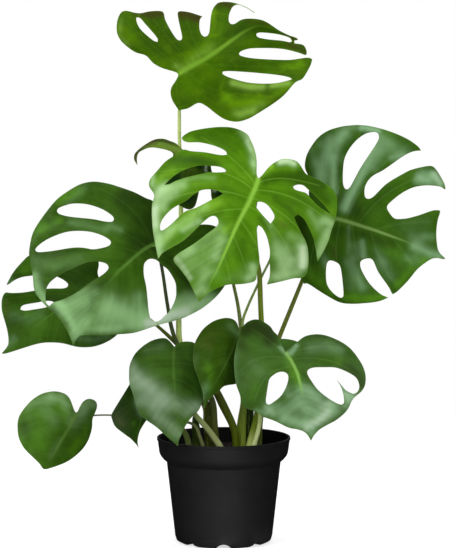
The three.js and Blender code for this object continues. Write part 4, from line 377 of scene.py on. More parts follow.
        [(78.6, 242.3), (75, 250.5), (71.3, 258.2), (68.6, 264.9), (64.4, 268.3), (59.7, 275.5), (53.3, 280.2),
        (47.6, 283.6), (39.9, 284.9), (31.6, 282.3), (25.4, 276.9), (20.3, 266.1), (16.1, 250.8), (13.2, 232.8),
        (13.7, 217.3), (16.2, 200.6), (21.4, 185.8), (22.1, 176.2), (27.6, 171.5), (36.2, 168), (43.9, 165.5),
        (49.6, 159.8), (54.8, 158.1), (66.3, 153.8), (83.2, 145.5), (95.7, 143), (103.4, 140), (108.3, 134.9),
        (111.8, 128.4), (114.1, 133.2), (121.3, 142), (131.5, 148.6), (143, 154.8), (154.5, 164.2), (159.6, 171),
        (164, 180.7), (169.1, 186.5), (175.2, 191.4), (180.3, 199.7), (181.3, 211.6), (180, 218.2), (176.6, 227),
        (165, 243.9), (159.3, 249.5), (151.2, 255.2), (132.4, 263.6), (119.7, 265.8), (106.9, 264.2),
        (100.5, 261.3), (94.2, 256.1), (87.8, 250.8)],
        holes=[
            [(68.6, 216.7), (73.8, 217.9), (78.9, 217), (82, 214.1), (82.4, 206.4), (74.7, 188.4), (63.7, 178.6),
            (57.3, 175), (54.3, 176.8), (53.9, 179.4), (55.4, 194.8), (58.1, 207.7), (61.2, 211.6)],
            [(106.7, 215.4), (107, 219.5), (112.1, 222.5), (117.2, 223.4), (129.4, 223.5), (142.8, 223.1),
            (158.1, 217.3), (169, 210.3), (172.6, 203.8), (173.2, 196.1), (170.8, 191.6), (165.5, 189),
            (160.8, 191.2), (157, 192.9), (151.8, 198.6), (145.1, 206.7), (150.4, 197.3), (153.5, 185.8),
            (153.8, 177.1), (150.9, 175.1), (139.1, 180), (121.2, 193.5), (114.1, 202.6)],],
        midrib=
        [(79.5, 241.8), (84.7, 234.1), (89.8, 225.1), (94.3, 214.8), (97.5, 203.2), (100.7, 190.3), (104, 174.9),
        (106.6, 159.4), (109.2, 143.9), (111.8, 128.4)],
        depth=
        [(79.5, 241.8, -57), (111.8, 128.4, -116), (96.2, 200.6, -94), (42.5, 284.1, -43), (13.2, 230.2, -66),
        (23.4, 174.9, -84), (48.9, 232.8, -70), (120.3, 266.1, -34), (154.8, 252, -38), (180.5, 212.2, -48),
        (155.1, 165.8, -80), (65.6, 154.2, -98), (135.7, 239.2, -56)],
        veins=
        [(81.5, 239.2, 48.9, 266.1, 33.6, 273.8), (84.7, 234.1, 41.2, 245.6, 20.8, 217.3),
        (90.4, 223.8, 48.9, 225.1, 38.7, 176.2), (98.8, 198.1, 77.1, 178.7, 56.7, 165.8),
        (102.7, 180, 92.5, 165.8, 82.3, 152.9), (82.1, 239.2, 120.3, 258.5, 156.1, 245.6),
        (85.9, 232.8, 135.7, 243, 175.4, 209.6), (100.1, 191.6, 125.7, 176.2, 156.4, 173.6),
        (104, 173.6, 118.1, 162, 136, 156.8), (92.3, 218.6, 100, 210.9, 103.9, 205.8)],
    ),
    "low_right_back": dict(
        fold=1.5,
        outline=
        [(57.2, 241.8), (51.4, 246.3), (54, 252.7), (61.6, 257.2), (70.6, 259.7), (76.9, 259.9), (84.6, 259),
        (94.2, 256.1), (100.6, 250.8), (103.8, 243), (109.6, 230.8), (97.4, 232.1), (85.9, 227.6), (74.5, 226.3),
        (63.6, 229.6), (56.9, 236), (54.3, 239.5)],
        holes=[],
        midrib=
        [(56.8, 240.5), (66.8, 242.4), (77, 243), (87.2, 241.1), (97.4, 237.3), (109.6, 230.8)],
        depth=
        [(56.6, 240.5, 8), (108.9, 231.5, -12), (78.2, 259.7, 26), (78.3, 227.6, -14), (59.1, 255.9, 22),
        (97.4, 252, 14)],
        veins=
        [(65.5, 242.3, 71.9, 252, 77, 255.9), (77, 243, 87.2, 248.2, 93.5, 252),
        (68, 242.3, 74.4, 235.3, 80.8, 231.5), (82.1, 242.1, 88.5, 236.6, 93.6, 235.3)],
    ),
}

# petiole centre lines from the blade down into the soil: x, y, z, radius
PETIOLES = {
    "top":
        [(-55, 1.5, 594.7, 2.1), (-56, 9, 573.9, 2.2), (-56.3, 12, 548.5, 2.2), (-56.3, 15, 512.9, 2.3),
        (-54.7, 17, 468.3, 2.6), (-54.5, 16, 423.6, 3), (-55.4, 15, 366.1, 3.1), (-57, 16, 308.2, 3.3),
        (-57.6, 16, 279.9, 3.6), (-56.8, 16, 256.7, 3.8), (-49.7, 16, 228.3, 4.1), (-37.5, 15, 198.7, 4.6),
        (-25.8, 14, 179.4, 5.1), (-21, 13, 166.6, 5.6), (-20.2, 12, 155.1, 6.2), (-18.4, 11, 138.4, 6.6),
        (-17, 10, 104.8, 6.6)],
    "centre":
        [(44.7, -59.1, 463.8, 2.8), (42.9, -52, 452.3, 2.8), (39.3, -46, 435.8, 2.8), (37.1, -40, 416.6, 2.8),
        (37.2, -35, 396.2, 2.9), (39, -32, 378.4, 3), (42, -29, 361.7, 3), (44.9, -27, 346.4, 3.1),
        (45.9, -26, 328.6, 3.2), (46.7, -25, 305.7, 3.2), (47.9, -23, 280.1, 3.4), (49.3, -22, 245.6, 3.9),
        (48.4, -21, 209.7, 4.5), (45.9, -20, 181.5, 5.2), (43.1, -20, 159.7, 5.8), (39.3, -20, 143, 6.4),
        (35.5, -20, 126.3, 6.8), (33.5, -20, 109.6, 6.9)],
    "right":
        [(131.9, 29.2, 412, 2.1), (129.5, 34, 404.6, 2.2), (121.4, 38, 383.8, 2.3), (111.2, 40, 357.8, 2.4),
        (100.7, 40, 330, 2.5), (85.9, 38, 293.2, 2.8), (73.5, 34, 263.1, 2.9), (64.3, 30, 239.6, 3.1),
        (56.2, 24, 210.5, 3.3), (50.5, 18, 178.9, 3.6), (46, 13, 147.2, 4.2), (44.7, 11, 104.7, 4.4)],
    "left":
        [(-84.4, 1.1, 377.9, 1.9), (-83, 6, 370.6, 2), (-80.3, 9, 357.6, 2.1), (-77, 11, 338.2, 2.2),
        (-74, 12, 316.3, 2.3), (-71, 12, 297, 2.4), (-67.4, 10, 276.7, 2.7), (-61.5, 7, 257.7, 2.9),
        (-45.6, 3, 228.6, 3.3), (-26.5, 1, 197.9, 3.9), (-16.7, 0, 185.2, 4.3), (-12.9, -2, 172.6, 4.4),
        (-11.9, -3, 158.5, 4.4), (-10.6, -4, 138.1, 4.6), (-8.6, -4, 107.1, 4.7)],
    "far_left":
        [(-159.1, 53, 330.2, 1.9), (-152.6, 53, 323.7, 1.9), (-134.5, 52, 310.1, 2), (-111, 48, 292.2, 2.1),
        (-85.7, 42, 272, 2.1), (-72, 38, 260.1, 2.5), (-51.3, 32, 240.7, 3.1), (-28, 26, 215.4, 3.9),
        (-16.4, 22, 200.4, 4.7), (-8.6, 19, 187.8, 5.2), (-0.9, 15, 172.8, 5.5), (5.5, 12, 160.3, 5.2),
        (10.6, 9.5, 149.6, 4.9), (14.7, 7, 136.4, 4.8), (16.4, 3, 106, 4.8)],
    "back":
        [(-23, 8.3, 484.6, 1.8), (-22.3, 13.5, 478.6, 1.7), (-20.3, 23, 468.7, 1.8), (-16.3, 27, 456.4, 1.9),
        (-11.7, 33, 440.7, 2), (-3.8, 36, 407.1, 2), (5.5, 34, 364.7, 2.1), (13.2, 31, 324.3, 2.1),
        (17.5, 29, 304.4, 2.2), (20.7, 28, 283.8, 2.5), (22.8, 28, 261.8, 2.8), (24.8, 28, 229.5, 3),
        (26.1, 27, 197.1, 3.3), (24.8, 25, 171.4, 3.6), (21.7, 23, 152.2, 3.9), (19.9, 22, 131.5, 4.2),
        (19.4, 22, 102.9, 4.3)],
    "young":
        [(73.8, 14, 426.3, 1.2), (71.9, 14, 405.8, 2), (66.8, 15, 378.9, 1.9), (58.6, 16, 358.3, 1.5),
        (49.3, 17, 339.6, 1.6), (40.1, 17, 320.3, 1.6), (29.8, 16, 297.3, 1.7), (24.2, 14, 280.1, 1.8),
        (27, 11, 250.8, 2), (30.5, 6, 216.6, 2.2), (31.1, 2, 181, 2.4), (30.1, 0, 145.2, 2.7),
        (29.2, -1, 106.6, 2.9)],
    "low_far_left":
        [(-186.6, -5.9, 162.6, 1.1), (-183.2, 0, 160.9, 1.1), (-177, 14, 158.7, 1.1), (-164.7, 24, 158.2, 1.1),
        (-154.7, 30, 157.7, 1.1), (-144.5, 33, 157, 1.1), (-121.3, 34, 155.2, 1.2), (-95.3, 31, 153.7, 1.3),
        (-69.3, 24, 152.1, 1.4), (-52.3, 10, 151.8, 1.5), (-41.1, -6, 151.8, 1.8), (-34.7, -16, 147.6, 2),
        (-30.6, -20, 137.9, 2.2), (-26.3, -22, 124.1, 2.4), (-24.4, -22, 110, 2.4)],
    "low_left_back":
        [(-98.9, 36.7, 193.3, 1.5), (-96.2, 40, 185, 1.5), (-87.7, 36, 173.8, 1.6), (-75.8, 26, 163.5, 1.9),
        (-63.9, 12, 154.4, 2.4), (-53.4, 0, 144.6, 3.2), (-46.2, -8, 132.2, 3.9), (-43, -10, 108, 4.2)],
    "low_left":
        [(-62.1, -24.2, 247.1, 1.9), (-61.8, -18, 238.7, 1.9), (-59.3, -14, 221.6, 2), (-54.2, -16, 200.1, 2.4),
        (-45.9, -22, 180.5, 2.9), (-35.7, -27, 165.8, 3.3), (-26.8, -30, 156, 3.6), (-19.3, -31, 147.2, 3.8),
        (-12, -31, 137, 4), (-5.1, -31, 126.8, 4.1), (-0.2, -31, 111.4, 4.1)],
    "low_middle":
        [(20.7, -24.6, 268.1, 1.9), (21.7, -20, 260.6, 1.9), (24.6, -14, 244.7, 2), (27.1, -10, 221.1, 2.2),
        (27.8, -10, 195.5, 2.5), (26.5, -10.5, 167.3, 2.8), (25.2, -9.5, 137.6, 3.1), (24.4, -8, 107.7, 3.3)],
    "low_right":
        [(76.5, -53.8, 244.2, 1.9), (71.5, -46, 237, 1.9), (61.6, -40, 228.6, 2), (54.1, -36, 219.3, 2.1),
        (49.2, -33.5, 206.2, 2.3), (47.2, -34, 191, 2.5), (46.4, -35.5, 173.4, 2.6), (45.4, -37, 155.8, 2.7),
        (41.6, -38, 139.3, 2.8), (37.7, -38, 125.3, 2.9), (36.5, -38, 112.5, 2.9)],
    "low_right_back":
        [(56.2, 8.2, 235.7, 1.1), (53.8, 17, 228.8, 1.2), (49.2, 22, 218.5, 1.6), (42.2, 27, 195.8, 2),
        (37.3, 29, 173.5, 2.8), (35.2, 29.5, 159.1, 3.6), (34.2, 30, 146, 4.2), (33.7, 30, 130.3, 4.4),
        (33.4, 30, 101.6, 4.4)],
    # a young shoot, thick and very dark, filling the shadowed gap between the stems: partly painted shade
    "shoot":
        [(-38.9, 24, 158.3, 1.2), (-37.8, 23, 153.5, 2.8), (-36.5, 22, 147.2, 4.5), (-35.2, 21, 134.3, 5.3),
        (-34.7, 20, 118.8, 5.5), (-34.7, 20, 103.2, 5.5)],
}

# parts of the blades with painted sheen (pale grey-green), painted highlights (whitish), painted light (yellower
# green), painted shade (darker green) or a brownish tone: kind, line in x, z, half width, strength
STROKES = {
    "top": [
        ("warm", [(-108, 673.3), (-95.4, 673.3), (-80.3, 673.3)], 7.6, 0.75),
        ("warm", [(-53.8, 673.3), (-42.4, 670.8), (-29.8, 668.3)], 8.9, 0.85),
        ("warm", [(-34.9, 668.3), (-28.6, 668.3)], 5.1, 0.7),
        ("warm", [(-8.4, 684.6), (3, 684.6), (13.1, 679.6)], 5.1, 0.7),
        ("shade", [(-51.3, 659.5), (-42.5, 652)], 8.9, 0.4),
        ("shade", [(-90.4, 667), (-82.9, 652)], 7.6, 0.35),
        ("painted_highlight", [(19.4, 682.1), (28.2, 679.6), (38.3, 674.6)], 3.8, 0.7),
        ("bright", [(-15.9, 677.1), (-12.2, 659.5), (-14.7, 646.9)], 7.6, 0.6),
        ("shade", [(3, 644.4), (20.6, 652), (40.8, 652)], 7.6, 0.6),
        ("warm", [(28.2, 663.3), (45.9, 662), (56, 658.2)], 3.3, 0.55),
        ("shade", [(48.4, 655.7), (66.1, 648.2), (88.8, 640.7)], 6.3, 0.8),
        ("warm", [(76.2, 644.4), (96.4, 638.1)], 2.5, 0.6),
        ("shade", [(33.3, 658.2), (48.4, 655.7)], 5.1, 0.4),
        ("warm", [(81.3, 633.1), (93.9, 629.3), (102.8, 623.1)], 4.3, 0.6),
        ("shade", [(56, 634.4), (76.2, 633.1)], 3.8, 0.4),
        ("painted_sheen", [(11.8, 585.3), (28.3, 580.9), (48.5, 580.2)], 5.3, 0.7),
        ("painted_sheen", [(61.1, 582.1), (81.4, 585.9)], 4.3, 0.75),
        ("bright", [(3, 565.1), (18.2, 557.5), (43.5, 563.8)], 10.1, 0.68),
        ("warm", [(54.8, 563.8), (65, 565.1)], 3.8, 0.4),
        ("painted_sheen", [(20.7, 544.9), (35.9, 549.9)], 5.1, 0.45),
        ("painted_sheen", [(15.6, 547.4), (33.3, 549.9), (48.5, 557.5)], 6.3, 0.32),
        ("shade", [(-23.6, 584), (-19.8, 571.4)], 6.3, 0.3),
        ("shade", [(10.6, 567.6), (48.5, 565.1)], 3.8, 0.3),
        ("bright", [(76.3, 606.7), (96.5, 609.2)], 7.6, 0.5),
        ("bright", [(56.1, 563.8), (86.4, 584)], 6.3, 0.55),
        ("painted_sheen", [(-42.5, 609.2), (-29.9, 620.5), (-14.7, 629.3)], 7.6, 0.3),
        ("bright", [(-42.5, 614.2), (-23.6, 626.8)], 11.4, 0.45),
        ("painted_sheen", [(-60.2, 606.7), (-50.1, 601.7)], 5.7, 0.4),
        ("painted_sheen", [(-129.5, 664.5), (-132.1, 644.4), (-120.8, 631.9)], 4.4, 0.3),
        ("shade", [(-57.7, 584), (-60.3, 566.4), (-45.1, 563.8)], 10.1, 0.3),
        ("bright", [(-120.7, 652), (-110.7, 639.4)], 8.9, 0.35),
        ("shade", [(-7.1, 624.3), (10.6, 636.9), (28.2, 646.9)], 6.3, 0.25),
        ("bright", [(5.5, 677.1), (-2.1, 652)], 8.9, 0.25),
    ],
    "centre": [
        ("painted_sheen", [(24.5, 524.7), (32.1, 513.3), (37.2, 498.1), (38.5, 484.2)], 6.3, 0.5),
        ("painted_highlight", [(29.6, 512), (34.7, 500.6)], 3.8, 0.35),
        ("painted_sheen", [(38.5, 484.2), (39.7, 472.7)], 3.8, 0.35),
        ("bright", [(-50.3, 510.8), (-40.1, 513.3)], 5.1, 0.3),
        ("shade", [(-30, 520.9), (-9.7, 518.3), (13.1, 503.2)], 11.4, 0.45),
        ("painted_highlight", [(29.6, 520.9), (32.1, 513.3)], 3.2, 0.3),
        ("shade", [(-11, 525.9), (10.6, 524.7)], 5.1, 0.3),
        ("bright", [(10.6, 472.7), (27.1, 465.1)], 10.1, 0.3),
        ("bright", [(-83.3, 460.1), (-77, 470.2), (-65.5, 475.3)], 6.3, 0.5),
        ("painted_sheen", [(-89.6, 467.7), (-90.9, 456.3)], 3.8, 0.6),
        ("shade", [(-65.5, 490.5), (-35.1, 488), (-9.7, 482.9)], 7.6, 0.7),
        ("shade", [(-83.3, 477.8), (-68, 488)], 6.3, 0.3),
        ("painted_sheen", [(-80.8, 447.4), (-68.1, 453.7), (-52.9, 457.5)], 7.6, 0.5),
        ("painted_sheen", [(-47.8, 463.9), (-30, 466.4), (-12.3, 465.1)], 3.8, 0.25),
        ("bright", [(-52.9, 452.4), (-35.1, 457.5), (-12.3, 457.5)], 7.6, 0.25),
        ("shade", [(-64.3, 428.3), (-55.4, 434.7), (-42.7, 438.5)], 4.4, 0.5),
        ("painted_sheen", [(-75.7, 451.2), (-83.4, 441), (-87.2, 424.5), (-88.5, 404.1)], 8.4, 0.76),
        ("painted_highlight", [(-79.5, 449.9), (-84.6, 441)], 5.1, 0.3),
        ("painted_highlight", [(-87.2, 427), (-87.9, 419.4), (-87.3, 406.7)], 5.1, 0.62),
        ("painted_sheen", [(-74.5, 438.5), (-75.8, 427)], 6.3, 0.45),
        ("painted_sheen", [(-68.1, 441), (-60.5, 446.1)], 6.3, 0.4),
        ("painted_sheen", [(-87.3, 404.1), (-89.8, 394)], 5.1, 0.4),
        ("bright", [(-9.7, 432.1), (-22.4, 427), (-40.2, 418.1), (-65.7, 399), (-81, 382.5)], 8.9, 0.6),
        ("painted_sheen", [(-22.4, 428.3), (-47.9, 413), (-68.2, 396.5)], 6.3, 0.3),
        ("painted_sheen", [(-51.7, 399), (-41.5, 405.4), (-31.3, 410.5)], 4.6, 0.5),
        ("bright", [(0.4, 399), (9.3, 404.1)], 6.3, 0.5),
        ("painted_sheen", [(-70.8, 401.6), (-81, 381.2)], 10.1, 0.35),
        ("shade", [(-35.2, 406.7), (-22.4, 416.9), (-4.7, 422)], 5.1, 0.35),
        ("painted_sheen", [(-83.5, 388.9), (-84.8, 373.6), (-81, 364.6)], 6.3, 0.75),
        ("painted_sheen", [(-55.6, 365.9), (-35.2, 378.7), (-9.8, 391.4)], 15.2, 0.26),
        ("painted_highlight", [(-63.2, 365.9), (-53, 353.2), (-42.9, 337.8)], 5.1, 0.4),
        ("painted_sheen", [(-40.3, 386.3), (-22.5, 399), (-7.2, 404.1)], 6.3, 0.25),
        ("shade", [(10.6, 401.6), (18.2, 381.2), (20.8, 365.9)], 10.1, 0.35),
        ("painted_sheen", [(-40.3, 350.6), (-27.6, 355.7), (-14.9, 363.4)], 11.4, 0.22),
        ("painted_sheen", [(-30.2, 330.2), (-22.5, 345.5)], 7.6, 0.3),
        ("painted_sheen", [(5.5, 334), (20.8, 340.4), (32.2, 350.6)], 8.9, 0.15),
        ("painted_sheen", [(31, 336.5), (38, 342.9), (37.3, 351.9)], 6.3, 0.6),
        ("painted_sheen", [(-22.5, 339.1), (-12.3, 345.5)], 7.6, 0.2),
        ("painted_sheen", [(-36.5, 318.7), (-25.1, 321.2)], 7.6, 0.4),
        ("painted_sheen", [(-9.8, 365.9), (-2.1, 385)], 7.6, 0.35),
        ("painted_sheen", [(-50.5, 369.7), (-42.8, 374.8)], 7.6, 0.4),
        ("shade", [(15.7, 371), (24.6, 358.3)], 7.6, 0.3),
        ("shade", [(18.2, 419.4), (25.8, 396.5), (25.8, 373.6)], 8.9, 0.4),
        ("shade", [(8, 442.3), (24.5, 435.9)], 6.3, 0.25),
        ("shade", [(53.7, 462.6), (74, 467.7), (96.8, 465.1)], 8.9, 0.8),
        ("shade", [(99.4, 460.1), (114.6, 452.4), (129.9, 437.2)], 10.1, 0.8),
        ("shade", [(99.4, 472.7), (112.1, 467.7), (124.8, 457.5)], 7.6, 0.8),
        ("warm", [(58.8, 477.8), (48.6, 470.2)], 2.5, 0.3),
        ("painted_sheen", [(70.2, 485.4), (79, 487.3), (89.2, 482.9)], 5.1, 0.5),
        ("painted_highlight", [(71.4, 485.4), (80.3, 486.7), (89.2, 484.2)], 4.3, 0.6),
        ("bright", [(48.6, 470.2), (58.8, 480.4)], 6.3, 0.7),
        ("shade", [(81.7, 449.9), (102, 437.2), (117.3, 422)], 5.1, 0.35),
        ("shade", [(66.4, 437.2), (81.7, 427), (91.9, 415.6)], 5.7, 0.5),
        ("bright", [(124.8, 437.2), (135.1, 422)], 7.6, 0.3),
        ("painted_sheen", [(127.5, 410.5), (136.4, 406.7), (133.9, 399), (128.8, 386.3), (121.3, 368.5)], 7.6, 0.6),
        ("painted_sheen", [(84.3, 392.7), (100.9, 387.6)], 6.3, 0.25),
        ("painted_sheen", [(109.7, 422), (119.9, 401.6)], 6.3, 0.25),
        ("shade", [(48.7, 447.4), (77.9, 439.7), (96.9, 429.6)], 6.3, 0.35),
        ("bright", [(58.8, 422), (71.6, 411.8)], 8.9, 0.3),
        ("painted_sheen", [(72.9, 371), (78, 360.8), (76.8, 345.5)], 14, 0.58),
        ("painted_sheen", [(62.7, 399), (66.5, 383.8)], 6.3, 0.15),
        ("shade", [(46.2, 414.3), (56.3, 401.6)], 5.1, 0.5),
        ("warm", [(67.8, 410.5), (76.7, 404.1)], 5.1, 0.35),
        ("painted_sheen", [(97.1, 378.7), (104.7, 358.3)], 7.6, 0.4),
        ("painted_sheen", [(97.1, 365.9), (99.7, 355.7)], 7.6, 0.25),
        ("painted_highlight", [(100.9, 376.1), (101.6, 363.4), (99.7, 353.2)], 5.7, 0.7),
        ("painted_highlight", [(81.9, 353.2), (89.5, 360.8)], 8.9, 0.2),
        ("painted_sheen", [(51.3, 335.3), (76.8, 340.4), (97.1, 345.5)], 6.3, 0.4),
        ("painted_sheen", [(48.7, 427), (58.9, 404.1)], 3.8, 0.3),
        ("bright", [(41, 460.1), (33.4, 437.2), (18.2, 404.1)], 6.3, 0.25),
    ],
    "right": [
        ("painted_sheen", [(122.3, 455), (124.7, 480.4), (134.8, 503.2), (152.4, 520.9)], 10.1, 0.58),
        ("painted_sheen", [(175.2, 529.1), (185.4, 527.2), (195.5, 524)], 4.1, 0.7),
        ("painted_sheen", [(138.6, 490.5), (140, 447.4)], 5.7, 0.55),
        ("painted_sheen", [(162.5, 531), (187.9, 528.5)], 6.3, 0.3),
        ("painted_sheen", [(110.7, 500.6), (114.6, 482.9)], 5.1, 0.3),
        ("shade", [(105.7, 477.8), (112.1, 465.1)], 5.1, 0.4),
        ("shade", [(147.5, 500.6), (145, 468.9)], 3.8, 0.35),
        ("painted_sheen", [(188, 500.6), (175.5, 472.7), (160.4, 442.3), (154.1, 427)], 7, 0.66),
        ("painted_sheen", [(190.5, 510.8), (198.2, 498.1), (190.7, 480.4)], 10.1, 0.34),
        ("painted_sheen", [(198.1, 515.8), (215.9, 503.2), (228.6, 495.6)], 11.4, 0.38),
        ("painted_sheen", [(213.4, 490.5), (226.1, 493)], 5.1, 0.4),
        ("shade", [(220.9, 515.8), (238.7, 504.4)], 6.3, 0.3),
        ("painted_sheen", [(249.1, 465.1), (259.3, 462.6)], 7, 0.6),
        ("painted_highlight", [(246.5, 468.9), (252.9, 463.9)], 5.1, 0.2),
        ("painted_sheen", [(266.8, 467.7), (274.5, 457.5)], 6.3, 0.7),
        ("painted_highlight", [(266.8, 470.2), (274.5, 460.1)], 4.4, 0.35),
        ("shade", [(152.8, 439.7), (173.2, 416.9)], 12.7, 0.5),
        ("shade", [(234.3, 401.6), (249.5, 396.5)], 10.1, 0.25),
        ("painted_sheen", [(255.9, 391.4), (264.8, 390.1)], 6.3, 0.3),
        ("painted_sheen", [(234.5, 363.4), (244.7, 359.5)], 7.6, 0.28),
        ("painted_sheen", [(122.1, 508.2), (132.2, 515.8)], 6.3, 0.25),
        ("painted_sheen", [(153.2, 335.3), (160.9, 325)], 6.3, 0.2),
        ("bright", [(153.1, 348), (168.5, 327.6)], 10.1, 0.25),
        ("painted_sheen", [(244.1, 460.1), (261.8, 457.5)], 5.1, 0.3),
        ("painted_sheen", [(252.8, 472.7), (261.7, 471.5)], 5.7, 0.4),
        ("painted_sheen", [(125.1, 365.9), (131.5, 355.7)], 6.3, 0.28),
        ("painted_sheen", [(165.7, 378.7), (169.6, 365.9)], 6.3, 0.28),
        ("shade", [(198.5, 442.3), (218.7, 455)], 6.3, 0.3),
        ("shade", [(168.1, 429.6), (190.9, 432.1), (213.8, 419.4)], 12.7, 0.42),
        ("painted_sheen", [(229.1, 406.7), (257.1, 409.2)], 8.9, 0.12),
        ("painted_sheen", [(243.3, 378.7), (257.3, 372.3), (272.6, 365.9)], 7.6, 0.55),
        ("painted_sheen", [(239.4, 391.4), (249.6, 386.3)], 8.9, 0.22),
        ("shade", [(142.8, 399), (175.8, 394), (214, 381.2)], 10.1, 0.55),
        ("painted_sheen", [(159.3, 404.1), (158.1, 371)], 3.3, 0.25),
        ("painted_sheen", [(175.9, 383.8), (178.5, 365.9)], 4.6, 0.55),
        ("painted_sheen", [(160.7, 358.3), (168.4, 340.4), (176.1, 327.6)], 8.9, 0.45),
        ("painted_sheen", [(198.9, 358.3), (211.7, 340.4)], 8.9, 0.3),
        ("bright", [(214.1, 373.6), (237.1, 358.3)], 11.4, 0.35),
        ("painted_sheen", [(193.7, 373.6), (204, 358.3)], 6.3, 0.2),
        ("bright", [(155.8, 313.5), (181.3, 311), (206.8, 313.5)], 6.3, 0.8),
        ("bright", [(222, 330.2), (239.7, 348), (254.9, 360.8)], 7.6, 0.55),
        ("bright", [(104.8, 348), (120.1, 332.7), (135.4, 319.9)], 8.9, 0.5),
        ("warm", [(139, 378.7), (142.9, 365.9)], 3.8, 0.4),
        ("painted_sheen", [(130.2, 358.3), (135.3, 345.5)], 5.1, 0.2),
        ("shade", [(97, 411.8), (102.2, 373.6)], 11.4, 0.7),
        ("bright", [(135.2, 386.3), (141.6, 376.1)], 6.3, 0.35),
        ("painted_sheen", [(144.9, 498.1), (150, 488)], 6.3, 0.2),
    ],
    "left": [
        ("shade", [(-113.8, 447.4), (-93.6, 429.6), (-91.1, 391.4), (-106.4, 386.3)], 20.3, 0.75),
        ("shade", [(-131.6, 437.2), (-111.4, 409.2)], 12.7, 0.4),
        ("bright", [(-210.4, 434.7), (-197.6, 442.3), (-184.9, 449.9)], 7.6, 0.5),
        ("bright", [(-241.1, 388.9), (-230.9, 406.7)], 7.6, 0.4),
        ("painted_sheen", [(-195.3, 408), (-180, 406.7), (-152.1, 399)], 6.3, 0.3),
        ("bright", [(-230.9, 400.3), (-208, 411.8)], 6.3, 0.45),
        ("painted_sheen", [(-200.2, 429.6), (-177.3, 452.4)], 6.3, 0.2),
        ("painted_sheen", [(-233.4, 399), (-213.1, 406.7)], 5.1, 0.1),
        ("shade", [(-238.7, 368.5), (-208.2, 373.6), (-177.7, 372.3), (-152.2, 376.1)], 3.3, 0.5),
        ("painted_sheen", [(-243.9, 358.3), (-215.9, 353.2), (-182.8, 358.3)], 10.1, 0.22),
        ("painted_sheen", [(-241.5, 340.4), (-236.5, 322.5), (-226.4, 307.1)], 7.6, 0.62),
        ("painted_sheen", [(-178, 307.1), (-193.3, 307.1), (-203.5, 302)], 11.4, 0.55),
        ("painted_sheen", [(-144.9, 299.5), (-129.6, 293.1), (-111.8, 284.1)], 17.8, 0.82),
        ("painted_sheen", [(-190.8, 294.3), (-170.4, 284.1), (-147.5, 281.5)], 12.7, 0.42),
        ("painted_sheen", [(-107.9, 312.3), (-99, 286.7)], 10.1, 0.45),
        ("painted_sheen", [(-211.1, 307.1), (-198.5, 289.2), (-188.4, 271.3)], 6.3, 0.7),
        ("painted_sheen", [(-188.4, 263.6), (-180.7, 280.2)], 8.9, 0.62),
        ("painted_sheen", [(-183, 319.9), (-165.2, 319.9)], 8.9, 0.35),
        ("painted_sheen", [(-157.8, 271.3), (-137.3, 272.6)], 5.1, 0.4),
        ("bright", [(-134.5, 348), (-119.2, 355.7)], 8.9, 0.4),
        ("painted_sheen", [(-144.5, 404.1), (-131.8, 399)], 6.3, 0.3),
        ("painted_sheen", [(-218.7, 309.7), (-206, 302)], 5.1, 0.5),
        ("painted_sheen", [(-170.5, 271.3), (-132.2, 273.8), (-99.1, 281.5)], 5.1, 0.35),
        ("painted_sheen", [(-96.5, 281.5), (-68.4, 291.8), (-45.5, 298.2), (-17.4, 307.1)], 11.4, 1.0),
        ("painted_sheen", [(-60.8, 308.4), (-25.1, 317.4)], 10.1, 0.5),
        ("painted_highlight", [(-96.5, 280.2), (-81.2, 284.1), (-65.9, 290.5), (-48, 294.3)], 7, 0.8),
        ("painted_highlight", [(-48, 302), (-30.2, 304.6)], 7.6, 0.3),
        ("painted_sheen", [(-81.2, 286.7), (-71, 281.5)], 6.3, 0.7),
        ("shade", [(-68.3, 358.3), (-50.5, 335.3), (-35.3, 322.5)], 10.1, 0.6),
        ("shade", [(-22.5, 327.6), (-9.8, 330.2)], 11.4, 0.4),
        ("shade", [(-93.7, 378.7), (-75.9, 365.9)], 10.1, 0.5),
    ],
    "far_left": [
        ("shade", [(-221.1, 345.5), (-193.1, 342.9), (-170.1, 350.6)], 20.3, 0.55),
        ("shade", [(-234, 312.3), (-208.5, 309.7)], 10.1, 0.5),
        ("painted_sheen", [(-267.3, 289.2), (-246.9, 284.1), (-234.1, 291.8)], 8.9, 0.22),
        ("warm", [(-277.3, 309.7), (-275, 286.7)], 3.8, 0.3),
        ("painted_sheen", [(-275.2, 253.3), (-267.5, 261)], 5.1, 0.35),
        ("bright", [(-252, 294.3), (-229.1, 276.4)], 11.4, 0.35),
        ("bright", [(-254.1, 348), (-243.9, 355.7)], 7.6, 0.45),
        ("painted_sheen", [(-183.3, 261), (-162.9, 258.5), (-147.6, 263.6)], 6.3, 0.3),
        ("shade", [(-196, 271.3), (-168, 268.7)], 5.1, 0.5),
        ("painted_sheen", [(-279.8, 322.5), (-269.5, 332.7)], 5.1, 0.3),
    ],
    "low_far_left": [
        ("painted_sheen", [(-250.3, 172.3), (-240, 180), (-222, 185.2)], 6.3, 0.4),
        ("painted_sheen", [(-183.8, 165.8), (-173.5, 177.4), (-165.8, 176.2)], 7.6, 0.5),
        ("bright", [(-240.3, 129.7), (-232.7, 116.8), (-226.4, 103.8)], 11.4, 0.5),
        ("painted_sheen", [(-219.5, 183.9), (-208, 183.9), (-201.7, 174.9)], 7.6, 0.55),
        ("bright", [(-201.7, 171), (-197.9, 152.9)], 8.9, 0.8),
        ("painted_sheen", [(-199.1, 167.1), (-196.6, 154.2)], 6.3, 0.25),
        ("bright", [(-187.8, 127.1), (-194.3, 115.5)], 6.3, 0.7),
        ("bright", [(-181.4, 129.7), (-176.2, 145.2)], 6.3, 0.4),
        ("bright", [(-214.4, 176.2), (-201.7, 163.3)], 7.6, 0.35),
        ("painted_sheen", [(-191.6, 150.4), (-181.3, 160.7), (-178.7, 171)], 8.9, 0.35),
        ("shade", [(-199.4, 111.6), (-207.2, 105.1)], 5.1, 0.15),
